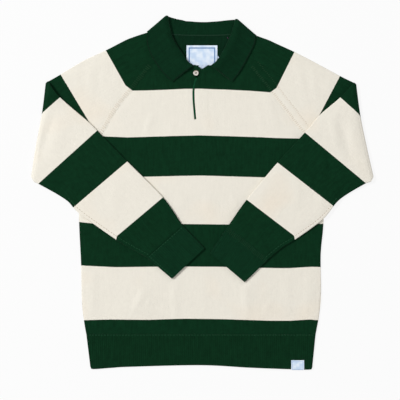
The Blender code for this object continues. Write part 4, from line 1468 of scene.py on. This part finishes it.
    def pressed(self, offset: Array, radius: float, row: int, distances: Sequence[float]) -> Array:
        """Offsets of a ring near a sewn end, where the outer face comes in.

        Args:
            offset: The ring's offsets from the middle level.
            radius: Radius of its face.
            row: Which ring it is, counted from the sewn end.
            distances: Distance of the first rings from that end.

        Returns:
            The offsets.
        """
        distance = distances[row] if row < len(distances) else CLOTH.rim
        drop = rim(distance) * self.press
        return brought_in(offset, drop) if radius == OUTSIDE else offset

    def build(self) -> Object:
        """Builds the sleeve."""
        upper, lower, normal, run = self.sections()
        above, below = sleeve_stripes(self.side)
        fold_mid = upper[-1][self.across // 2]
        shift = float(above.frame(fold_mid)[0] + below.frame(fold_mid)[0])
        last = len(lower) - 1
        faces = []
        for radius in FACES:
            rings = []

            def add(points: Array, height: Array, wale: Array, courses: Array,
                    stripes: Array) -> None:
                """Adds one ring with its knit place and stripe count."""
                rings.append(np.column_stack([points, height, wale * MM, courses * 0.1, stripes]))

            for k, line in enumerate(upper[:-1]):
                xy, offset, across = flat_ring(line, radius, self.across, self.arc)
                offset = self.pressed(offset, radius, k, (0.0, 0.2, 0.55, 1.0))
                add(xy, self.upper_height(xy, offset, across), above.frame(xy)[0],
                    above.at(xy), above.colour_at(xy))
            xy, offset, across = flat_ring(upper[-1], radius, self.across, self.arc)
            stripes = (above.at(xy), below.at(xy))
            wales = (above.frame(xy)[0], shift - below.frame(xy)[0])
            reach = CLOTH.fold_height - (CLOTH.middle + offset)
            for t in np.arange(self.fold_parts + 1) / self.fold_parts:
                out = reach * sin(pi * t)
                slide = out / CLOTH.fold_height * self.overrun(across)
                moved = xy + normal * out[:, None] - run * slide[:, None]
                courses = stripes[0] * (1 - t) + stripes[1] * t
                add(moved, CLOTH.fold_height - reach * cos(pi * t),
                    wales[0] * (1 - t) + wales[1] * t, courses, courses)
            for k in range(1, last + 1):
                xy, offset, across = flat_ring(lower[k], radius, self.across, self.arc)
                offset = self.pressed(offset, radius, last - k, (0.0, 0.5, 1.0))
                add(xy, self.fore_height(xy, offset, across, k / last),
                    shift - below.frame(xy)[0], below.at(xy), below.colour_at(xy))
            faces.append(np.array(rings))
        outer, inner = faces
        obj = tube(f"sleeve_{self.side.value}_cloth", outer[..., :3], inner[..., :3], self.finish,
                   outer[..., 3:5], outer[..., 5])
        return dressed(obj, "striped_knit", "sleeve_" + self.side.value)


@dataclass
class Cuff:
    """A rib cuff: a flat tube with its ribs raised on both sides."""

    side: Side
    finish: Material
    depth: float = 65.0
    step: float = 5.0
    press: float = 0.6        # how much of a rim's drop its ends have
    arc: tuple[float, ...] = (30.0, 60.0, 90.0, 120.0, 150.0)

    def build(self) -> Object:
        """Builds the cuff."""
        corners = [np.array(p) for p in marks(OUTLINE.cuff, self.side)]
        seam_top, seam_bottom, end_top, end_bottom = corners
        shift = unit((end_top + end_bottom) - (seam_top + seam_bottom)) * CLOTH.seam / 2
        starts, ends = (seam_top + shift, seam_bottom + shift), (end_top, end_bottom)
        seam_width = float(norm(seam_top - seam_bottom))
        place, groove = RIB.furrows(seam_width)
        level = np.zeros(len(self.arc))
        furrows = np.concatenate([groove, level, groove[::-1], level])
        faces = []
        for radius in FACES:
            rings = []
            for share in rimmed(self.depth, self.step):
                line = np.array([a + (b - a) * share for a, b in zip(starts, ends)])
                points, offset, _ = flat_ring(line, radius, len(place) - 1, self.arc)
                to_end = min(share, 1 - share) * self.depth
                if radius == OUTSIDE:
                    offset = offset - np.sign(offset) * furrows * smoothstep(to_end, -0.5, 2.0)
                    offset = brought_in(offset, rim(to_end) * self.press)
                height = (CLOTH.fold_height + PITCH + CLOTH.loose) + offset + front_rise(points)
                wale = (points - line[0]) @ unit(line[1] - line[0])
                down = np.full(len(wale), share * self.depth)
                rings.append(np.column_stack([points, height, wale * MM, down * MM]))
            faces.append(np.array(rings))
        outer, inner = faces
        obj = tube(f"cuff_{self.side.value}_rib", outer[..., :3], inner[..., :3], self.finish,
                   outer[..., 3:])
        round_width = seam_width + norm(end_top - end_bottom)
        return dressed(obj, "green_rib", "cuff_" + self.side.value)


# ------------ collar

@dataclass
class Collar:
    """Knitted collar in one piece: a short stand that rolls over into the fall and its leaves."""

    finish: Material
    stand_parts: int = 5
    roll_parts: int = 8
    fall_parts: int = 15
    station_parts: int = 7
    turn_parts: int = 12
    leaf_puff: float = 0.5
    bolster: float = 3.6      # how much taller the roll is than its two layers pressed flat
    crest: float = 3.2        # how far the leaf rises just past the roll
    crest_at: float = 0.15    # and where, as a share of its width
    edge_lift: float = 1.0

    def stations(self) -> list[tuple[Array, float, Array]]:
        """Sections from the left front end round the back to the right front end.

        Returns:
            The plan points of seam, roll and edge, the angle by which the section has turned
            over at the side fold, and the outward direction of that fold.
        """
        def refine(rows: Sequence[Station], rims: tuple[bool, bool]) -> list[Array]:
            shares = rimmed(110.0, 110.0 / ((len(rows) - 1) * self.station_parts), *rims)
            seam = along([r.seam for r in rows], shares)
            roll = sample([r.roll for r in rows], shares)
            edge = sample([r.edge for r in rows], shares)
            return [np.array(s) for s in zip(seam, roll, edge)]

        def outward(row: Station, sign: float) -> Array:
            line = unit(np.array(row.roll) - np.array(row.edge))
            return np.array((-line[1], line[0])) * sign

        left, right = OUTLINE.collar_left, OUTLINE.collar_right
        back = (left[-1],) + OUTLINE.collar_back + (right[-1],)
        out_left, out_right = outward(left[-1], 1.0), outward(right[-1], -1.0)
        left_end, right_end = np.array(left[-1], float), np.array(right[-1], float)
        steps = self.turn_parts
        found = [(s, 0.0, out_left) for s in refine(left, (True, False))]
        found += [(left_end, pi * k / steps, out_left) for k in range(1, steps)]
        found += [(s, pi, out_left) for s in refine(back, (False, False))]
        found += [(right_end, pi * k / steps, out_right) for k in range(steps - 1, 0, -1)]
        return found + [(s, 0.0, out_right) for s in refine(right, (True, False))[::-1]]

    def section(self, station: tuple[Array, float, Array], face: float,
                end_distance: float) -> Array:
        """One face of the wall, from the neck seam over the roll to the free edge.

        Args:
            station: A section from stations().
            face: 1 for the outer face and -1 for the inner one.
            end_distance: Distance from the collar's nearer front end.

        Returns:
            Points in space.
        """
        (seam, roll, edge), angle, out = station
        half = PITCH / 2
        thin = rim(end_distance) * 0.9
        wall = CLOTH.wall / 2
        way = unit(roll - seam)
        seam = seam + way * CLOTH.seam / 2
        fall = float(norm(edge - roll))
        path = []
        for t in even(self.stand_parts)[:-1]:
            edge_drop = rim(t * norm(roll - seam)) * 0.6
            delta = face * (wall - max(thin, edge_drop))
            path.append((seam + (roll - seam) * t, half - delta, 0.0))
        round_to = roll - way * self.bolster / 2
        for k in range(self.roll_parts):
            t = pi * k / self.roll_parts
            delta = face * (wall - thin)
            size = (half + self.bolster / 2 + delta) * (0.35 + 0.65 * abs(cos(angle)))
            path.append((round_to + way * size * sin(t), PITCH - (half + delta) * cos(t),
                         self.bolster * (1 - cos(t)) / 2))
        for t in rimmed(fall, fall / self.fall_parts, False, True):
            edge_drop = rim((1 - t) * fall) * 0.95
            delta = face * (wall - max(thin, edge_drop))
            path.append((round_to + (edge - round_to) * t, PITCH + half + delta,
                         self.leaf_puff * sin(pi * t ** 0.8)
                         + self.bolster * (1 - t) ** 3 + self.edge_lift * t ** 3
                         + self.crest * t / self.crest_at * exp(1 - t / self.crest_at)))
        points = []
        front = (1 + cos(angle)) / 2
        for plan, level, puff in path:
            xy = plan + out * level * sin(angle)
            height = (CLOTH.middle + level * cos(angle) + (front_rise(xy) + puff) * front)
            lift = collar_lift(xy) if angle < pi / 2 else PITCH
            points.append((xy[0], xy[1], height + lift))
        return np.array(points)

    def build(self) -> Object:
        """Builds the collar."""
        stations = self.stations()
        rolls = np.array([s[0][1] for s in stations])
        run = run_of(rolls)
        parts = min(len(self.section(s, 1.0, 50.0)) for s in stations)
        rings, grain = [], []
        for station, place in zip(stations, run):
            end = min(place, run[-1] - place)
            faces = []
            for face in (1.0, -1.0):
                points = self.section(station, face, end)
                if len(points) != parts:
                    points = along(points, np.linspace(0, 1, parts))
                faces.append(points)
            rings.append(np.vstack([faces[0], faces[1][::-1]]))
            down = np.linspace(0.0, 60.0, parts)
            down = np.concatenate([down, down[::-1]])
            grain.append(np.column_stack([np.full(2 * parts, place * 1.3), down]) * MM)
        obj = finish_mesh("collar_knit", np.vstack(rings), wall_faces(len(rings), 2 * parts),
                          self.finish, grain=np.vstack(grain))
        return dressed(obj, "green_knit", "collar")


# ------------ trims

@dataclass
class Placket:
    """The narrow knitted binding that shows along the slit."""

    finish: Material
    width: float = 4.0
    proud: float = 0.55       # how far its crown stands over the cloth, and its edges under
    foot: float = 0.003       # shares of the slit's length where it starts and ends
    head: float = 0.80
    rows: int = 34

    def build(self) -> Object:
        """Builds the binding."""
        line = sample(OUTLINE.slit[::-1], np.linspace(self.foot, self.head, self.rows))
        across = np.array((-1.0, -0.9, -0.6, -0.2, 0.2, 0.6, 0.9, 1.0)) * self.width / 2
        plan = line[:, None, :] + np.stack([across, 0 * across], axis=-1)[None]
        crown = (1 - (across / (self.width / 2)) ** 2) ** 0.5
        ends = np.minimum(np.arange(self.rows), np.arange(self.rows)[::-1])
        fade = smoothstep(ends, -0.5, 2.0)[:, None]
        base = PITCH + collar_lift(plan) + FRONT_FORM.at(plan)
        high = base + CLOTH.wall - self.proud + 2 * self.proud * crown[None, :] * fade
        obj = shell("placket_binding_knit", plan, base, high, self.finish, None, plan * MM)
        return dressed(obj, "green_knit", "placket_binding")


@dataclass
class Button:
    """A four-hole shell button, dished and sewn on with crossed thread."""

    finish: Material
    thread: Material
    centre: Point = (-13.5, 250.5)
    diameter: float = 11.0
    thickness: float = 2.2
    rim_width: float = 1.6
    dish: float = 0.6
    slope: float = 0.7        # width of the slope into the dish
    hole: float = 1.6
    hole_spacing: float = 2.7
    strand: float = 0.42      # radius of the thread
    tilt: float = 8.0
    # Holds the low side of the rim clear of the tuck that the button rests on
    stand: float = 1.3

    def base(self) -> float:
        """Height of the button's middle at its underside."""
        xy = np.array(self.centre)
        level = CLOTH.wall + PITCH + collar_lift(xy) + front_rise(xy)
        lean = self.diameter / 2 * sin(radians(self.tilt))
        return level + CLOTH.seam + lean + self.stand

    def settle(self, obj: Object, finish: Material, smooth: float) -> None:
        """Finishes a piece modelled at the origin and puts it in place on the shirt.

        Args:
            obj: The piece.
            finish: Its material.
            smooth: Sharpest angle in degrees that is still shaded smooth.
        """
        obj.data.materials.clear()
        obj.data.materials.append(finish)
        select_only(obj)
        bpy.ops.object.shade_smooth_by_angle(angle=radians(smooth))
        place = Matrix.Translation(Vector((*self.centre, self.base())) * MM)
        obj.matrix_world = place @ Matrix.Rotation(radians(self.tilt), 4, "Y")
        bpy.ops.object.transform_apply(location=True, rotation=True, scale=True)
        select_only()

    def disc(self) -> Object:
        """Turns the button: its rim, its dish and its four holes."""
        select_only()
        bpy.ops.mesh.primitive_cylinder_add(vertices=56, radius=self.diameter / 2 * MM,
                                            depth=self.thickness * MM,
                                            location=(0, 0, self.thickness / 2 * MM))
        disc = bpy.context.object
        disc.name = disc.data.name = "button_shell"
        bpy.ops.object.transform_apply(location=True)
        bpy.ops.object.mode_set(mode="EDIT")
        bpy.ops.mesh.select_all(action="DESELECT")
        bm = bmesh.from_edit_mesh(disc.data)
        for face in bm.faces:
            face.select_set(face.normal.z > 0.9)
        bmesh.update_edit_mesh(disc.data)
        bpy.ops.mesh.inset(thickness=self.rim_width * MM)
        bpy.ops.mesh.inset(thickness=self.slope * MM, depth=-self.dish * MM)
        bpy.ops.object.mode_set(mode="OBJECT")
        reach = self.hole_spacing / sqrt(2) * MM
        for k in range(4):
            angle = pi / 4 + k * pi / 2
            bpy.ops.mesh.primitive_cylinder_add(
                vertices=16, radius=self.hole / 2 * MM, depth=4 * self.thickness * MM,
                location=(reach * cos(angle), reach * sin(angle), 0))
            drill = bpy.context.object
            cut = disc.modifiers.new("hole", "BOOLEAN")
            cut.operation, cut.solver, cut.object = "DIFFERENCE", "EXACT", drill
            select_only(disc)
            bpy.ops.object.modifier_apply(modifier="hole")
            bpy.data.objects.remove(drill, do_unlink=True)
        soften = disc.modifiers.new("soften", "BEVEL")
        soften.width, soften.segments, soften.limit_method = 0.28 * MM, 3, "ANGLE"
        soften.angle_limit = radians(50)
        bpy.ops.object.modifier_apply(modifier="soften")
        return disc

    def cross(self) -> Object:
        """Lays the two strands of thread over the holes."""
        strands = []
        for turn in (1, -1):
            select_only()
            bpy.ops.mesh.primitive_cylinder_add(
                vertices=10, radius=self.strand * MM, depth=self.hole_spacing * sqrt(2) * MM * 1.1,
                location=(0, 0, (self.thickness - self.dish + 0.28) * MM),
                rotation=(pi / 2, 0, turn * pi / 4))
            strands.append(bpy.context.object)
            bpy.ops.object.transform_apply(location=True, rotation=True)
        select_only(*strands)
        bpy.ops.object.join()
        cross = strands[0]
        cross.name = cross.data.name = "button_thread"
        return cross

    def build(self) -> list[Object]:
        """Builds the button and its thread."""
        disc = self.disc()
        self.settle(disc, self.finish, 35)
        cross = self.cross()
        self.settle(cross, self.thread, 60)
        return [dressed(disc, "shell", "button"), dressed(cross, "green_knit")]


@dataclass
class Labels:
    """The woven labels inside the neck and on the hem, all left plain."""

    neck_corners: Line = ((-32.9, 266.9), (31.6, 266.9), (31.6, 308.7), (-32.9, 308.7))
    care_corners: Line = ((-10.0, 262.0), (4.0, 254.5), (35.2, 283.5), (20.0, 304.0))
    hem_box: tuple[float, float, float, float] = (186.6, 213.7, -371.1, -351.5)
    thickness: float = 0.5
    lift: float = 0.3         # how far the ends of the flat labels curl up
    bend: float = 0.8         # radius of the hem label's fold

    def flat_label(self, name: str, corners: Line, level: float, border: str) -> Object:
        """Builds a label that lies on the inside of the back.

        Args:
            name: The object's name.
            corners: Its corners, from the foot's left one round to the head's left one.
            level: Its underside above the back's inner face.
            border: Colour of its woven border.

        Returns:
            The object.
        """
        a, b, c, d = (np.array(corner) for corner in corners)
        width, height = float(norm(b - a)), float(norm(d - a))
        u, v = rimmed(width, 3.0), rimmed(height, 3.0)
        plan = coons(a + (b - a) * u[:, None], d + (c - d) * u[:, None],
                     a + (d - a) * v[:, None], b + (c - b) * v[:, None])
        curl = self.lift * (np.abs(2 * u - 1) ** 3)[None, :]
        low = CLOTH.wall + level + collar_lift(plan) + curl
        grain = np.stack(np.broadcast_arrays(u * width, v[:, None] * height), axis=-1) * MM
        finish = WovenSatin(name + "_satin", width, height, border=border, turned=12.0).make()
        obj = shell(name + "_woven", plan, low, low + self.thickness, finish, None, grain)
        top = float(norm(c - d))
        return dressed(obj, "woven_label", name)

    def hem_label(self) -> Object:
        """Builds the label folded over the hem's lower edge."""
        left, right, bottom, top = self.hem_box
        width = right - left
        front = PITCH + CLOTH.wall + CLOTH.seam
        profile = [(top, front), (top - 6, front + 0.15), (top - 13, front + 0.1),
                   (bottom + 0.6, front)]
        for angle in (30.0, 60.0, 90.0):
            turn = radians(angle)
            profile.append((bottom + 0.3 - self.bend * sin(turn),
                            front - self.bend + self.bend * cos(turn)))
        profile += [(bottom - 0.5, front - 1.6), (bottom - 0.5, front - 2.3)]
        line = np.array(profile)
        outer = line - normals(line) * self.thickness
        xs = left + rimmed(width, 3.0) * width
        ring = np.vstack([outer, line[::-1]])
        points = [(x, y, z) for x in xs for y, z in ring]
        run = lengths(line) * extent(line)
        down = np.concatenate([run, run[::-1]])
        grain = np.array([(x - left, d) for x in xs for d in down]) * MM
        finish = WovenSatin("hem_label_satin", width, extent(line), inset=2.6, line=1.0,
                            border="#A9BFE0").make()
        obj = finish_mesh("hem_label_woven", np.array(points), wall_faces(len(xs), len(ring)),
                          finish, grain=grain)
        extent(line) * MM
        return dressed(obj, "woven_label", "hem_label")

    def build(self) -> list[Object]:
        """Builds all three labels."""
        care = self.flat_label("care_label", self.care_corners, CLOTH.seam, "#C6D7EF")
        level = 2 * CLOTH.seam + self.thickness + self.lift
        neck = self.flat_label("neck_label", self.neck_corners, level, "#6286B8")
        return [care, neck, self.hem_label()]


# ------------ sewing

@dataclass
class Stitching:
    """Rows of stitches that lie half sunk in the cloth."""

    name: str
    ground: Object  # the piece whose upper side they lie on
    finish: Material
    pitch: float = 6.3
    length: float = 4.0
    radius: float = 0.45
    sunk: float = 0.6         # share of the radius that lies in the cloth
    slant: float = 0.0        # turn out of the row, in degrees
    uneven: float = 0.0       # how far a stitch may be off its place along its own run
    sides: int = 6
    margin: float = 2.0       # how far they stop short of what covers the cloth

    def build(self, rows: Sequence[Array], stripes: StripeField | None = None,
              hidden: Sequence[Array] = ()) -> Object:
        """Builds the stitches.

        Args:
            rows: The lines in plan that they follow.
            stripes: The stripes of the cloth, where the thread changes with them.
            hidden: Outlines of what lies on the cloth, under which there are no stitches.

        Returns:
            The object.
        """
        mesh = self.ground.data
        surface = BVHTree.FromPolygons([v.co for v in mesh.vertices],
                                       [p.vertices[:] for p in mesh.polygons])
        reach = np.array((-1.0, -0.75, 0.0, 0.75, 1.0)) * self.length / 2
        thick = np.array((0.35, 0.85, 1.0, 0.85, 0.35)) * self.radius
        turn = np.arange(self.sides) * TURN / self.sides
        number, wall = ring_faces(len(reach), self.sides)
        slant = radians(self.slant)
        spin = np.array(((cos(slant), sin(slant)), (-sin(slant), cos(slant))))
        points, faces, count = [], [], []
        for row in rows:
            places = np.arange(self.pitch / 2, extent(row), self.pitch) / extent(row)
            ways = along(row, places + 0.002) - along(row, places - 0.002)
            for k, (middle, way) in enumerate(zip(along(row, places), ways)):
                run = unit(way) @ spin
                middle = middle + run * self.uneven * sin(2.4 * k + 7.0 * sin(k))
                centre = middle + reach[:, None] * run
                hits = [surface.ray_cast(Vector((x * MM, y * MM, 1.0)), Vector((0, 0, -1)))[0]
                        for x, y in centre]
                if None in hits or (hidden and clear_of(middle[None], hidden)[0] < self.margin):
                    continue
                height = np.array([hit.z / MM for hit in hits]) + self.radius * (0.5 - self.sunk)
                across = np.array((-run[1], run[0]))
                ring = (centre[:, None, :] + across * (np.cos(turn) * thick[:, None])[..., None])
                level = height[:, None] + np.sin(turn) * thick[:, None]
                start = len(points) * number.size
                points.append(np.dstack([ring, level]).reshape(-1, 3))
                faces += (wall + start).tolist()
                faces += [(number[0, ::-1] + start).tolist(), (number[-1] + start).tolist()]
                if stripes:
                    count.append(np.full(number.size, stripes.colour_at(middle[None])[0]))
        obj = finish_mesh(self.name, np.vstack(points), faces, self.finish, 80.0,
                          stripe=np.concatenate(count) if stripes else None)
        return dressed(obj, "green_knit")


@dataclass
class Sewing:
    """All the stitches that show on the shirt's upper side."""

    seam: Material
    narrowing: Material
    tack: Material
    # near-black thread, partly painted shade along the collar's edges
    linking_shade: Material
    chain: Material

    def sleeve(self, side: Side, sleeve: Object, cuff: Object) -> None:
        """Sews the underarm and cuff seams of a sleeve, and marks its narrowed stitches."""
        above, below = sleeve_stripes(side)
        foot = sample(marks(OUTLINE.forearm_bottom, side)[3:], even(60))
        row = shifted(foot, Sleeve.underarm, (0.0, 100.0))
        # On the cream stripes the thread's dark taupe is partly painted shade of the seam's gaps
        Stitching(f"underarm_stitches_{side.value}", sleeve, self.seam).build([row], below)
        top, foot, end, low = (np.array(p) for p in marks(OUTLINE.cuff, side))
        way, inward = unit(end - top), unit(top - foot)
        row = along([top + way * 1.6, foot + way * 1.6], np.linspace(0.03, 0.97, 20))
        edge = along([foot + inward * 5.0, low + inward * 5.0], np.linspace(0.05, 0.97, 20))
        name = f"cuff_stitches_{side.value}"
        if side is Side.LEFT:
            rows, sewn = [row, edge], Stitching(name, cuff, self.seam)
        else:
            rows = [row + way * k for k in (1.0, 4.5, 8.0)]
            sewn = Stitching(name, cuff, self.narrowing, 3.6, 2.4, 0.7, 0.6, 70.0, 1.0)
        sewn.build(rows, below)
        seam = raglan_line(side, np.linspace(0.16, 0.99, 60))
        out = (side.sign * 300.0, 250.0)
        offsets = (2.0, 5.0, 8.2) if side is Side.LEFT else (3.0, 5.6, 20.0)
        rows = [shifted(seam, offset, out) for offset in offsets]
        Stitching(f"narrowing_marks_{side.value}", sleeve, self.narrowing, 4.3, 3.6, 0.9, 0.8,
                  side.sign * 62.0, 0.8).build(rows, above, covered())

    def collar(self, collar: Object) -> None:
        """Links the outer edges and the front ends of the collar's leaves with near-black thread,
        whose dark dotted line is partly painted shade under the leaves' edges.
        """
        rows = []
        for side in Side:
            stations = collar_rows(side)
            edge = np.array([station.edge for station in stations])
            rows.append(shifted(sample(edge, np.linspace(0.03, 0.97, 50)), 1.4, (0.0, 300.0)))
            # Along each leaf's front end the near-black stitches are painted shade under the edge
            end = along([stations[0].edge, stations[0].roll], np.linspace(0.05, 0.85, 20))
            rows.append(shifted(end, 1.3, (side.sign * 90.0, 290.0)))
        Stitching("collar_linking", collar, self.linking_shade, 2.6, 2.0, 0.6, 0.5).build(rows)

    def body(self, hem: Object, back: Object) -> None:
        """Sews the hem's and the neck's seams, and the tack that holds the collar's end."""
        left, right = (np.array(m) for m in OUTLINE.hem_side[0])
        row = along([left - (0.0, 1.6), right - (0.0, 1.6)], np.linspace(0.01, 0.99, 90))
        Stitching("hem_stitches", hem, self.seam, radius=0.5).build([row], BODY_STRIPES)
        neck = np.array([station.seam for station in OUTLINE.collar_back[1:-1]])
        row = sample(shifted(neck, 0.8, (0.0, 0.0)), even(60))
        Stitching("neck_chain_stitches", back, self.chain, 3.1, 3.4, 1.9, 0.95).build([row])
        row = np.array(((52.4, 326.4), (57.4, 318.6)))
        Stitching("neck_tack", back, self.tack, 4.4, 4.0, 0.5, 0.3).build([row])


# ------------ studio

@dataclass(frozen=True)
class Studio:
    """A pale floor, a soft key light from the left, a large fill from above and the camera."""

    centre: Point = (-4.7, -15.5)
    field: float = 840.0
    distance: float = 3200.0
    floor_half: float = 20000.0
    key: float = 280.0
    fill: float = 12.0
    ambient: float = 0.45
    key_place: tuple[float, float, float] = (-4.4, 1.7, 4.8)  # in metres, as is the fill's
    fill_place: tuple[float, float, float] = (0.3, 0.1, 2.8)
    sensor: float = 36.0

    def floor(self) -> None:
        """Lays the floor."""
        select_only()
        bpy.ops.mesh.primitive_plane_add(size=2 * self.floor_half * MM, location=(0, 0, -0.0004))
        ground = bpy.context.object
        ground.name = "studio_floor"
        bpy.ops.object.transform_apply(location=True)
        ground.data.materials.append(LightTable().make())

    def lamp(self, name: str, place: Sequence[float], size: float, power: float) -> None:
        """Hangs a square soft light that faces the shirt.

        Args:
            name: The light's name.
            place: Where it hangs, in metres.
            size: Its side in metres.
            power: Its power in watts.
        """
        data = bpy.data.lights.new(name, "AREA")
        data.shape, data.size, data.energy = "SQUARE", size, power
        aim = (-Vector(place)).to_track_quat("-Z", "Y").to_matrix().to_4x4()
        added(name, data).matrix_world = Matrix.Translation(place) @ aim

    def build(self) -> None:
        """Builds the studio and sets the camera."""
        self.floor()
        self.lamp("key_light", self.key_place, 0.9, self.key)
        self.lamp("fill_light", self.fill_place, 2.6, self.fill)
        world = bpy.data.worlds.new("studio")
        bpy.context.scene.world = world
        world.use_nodes = True
        sky = world.node_tree.nodes["Background"]
        sky.inputs["Color"].default_value = (1.0, 1.0, 1.0, 1.0)
        sky.inputs["Strength"].default_value = self.ambient
        data = bpy.data.cameras.new("camera")
        data.sensor_width = self.sensor
        data.lens = self.sensor * self.distance / self.field
        camera = added("camera", data)
        camera.location = (self.centre[0] * MM, self.centre[1] * MM, self.distance * MM)
        bpy.context.scene.camera = camera
        bpy.context.scene.view_settings.view_transform = "Standard"


# ------------ the shirt

def main() -> None:
    """Builds the shirt and its studio."""
    logging.basicConfig(level=logging.INFO, format="%(name)s: %(message)s")
    jersey = CottonKnit().make()
    collar_knit = CottonKnit("collar_jersey", "#092B19", striped=False, wale=2.4, course=2.0)
    ribbed = {"striped": False, "wale": RIB.pitch / 2, "rib": RIB.pitch}
    cuff_knit = CottonKnit("cuff_rib_knit", "#0B2F1C", **ribbed).make()
    # The seam thread's taupe on cream is partly painted shade of the seam's gaps
    sewing = Sewing(SewingThread("seam_thread", "#215538", "#B3A38C").make(),
                    SewingThread("narrowing_yarn", "#12391F", "#E2D7C6").make(),
                    SewingThread("tack_thread", "#6B3560").make(),
                    SewingThread("linking_thread", "#03130A").make(),
                    SewingThread("chain_yarn", "#0B3320").make())
    # The reverse's darker green is partly painted shade inside the neck
    panels = Panels(jersey, CottonKnit("jersey_reverse", "#092818").make())
    back = panels.back()
    panels.front()
    hem = Hem(CottonKnit("rib_knit", "#0A2D19", **ribbed).make())
    hem.side(Layer.BACK)
    sewing.body(hem.side(Layer.FRONT), back)
    for side in Side:
        sleeve = Sleeve(side, jersey).build()
        sewing.sleeve(side, sleeve, Cuff(side, cuff_knit).build())
    sewing.collar(Collar(collar_knit.make()).build())
    Placket(CottonKnit("placket_jersey", "#0F4228", striped=False).make()).build()
    Button(MotherOfPearl().make(), SewingThread("button_sewing_thread", "#6E5A49").make()).build()
    Labels().build()
    Studio().build()


if __name__ == "__main__":
    main()
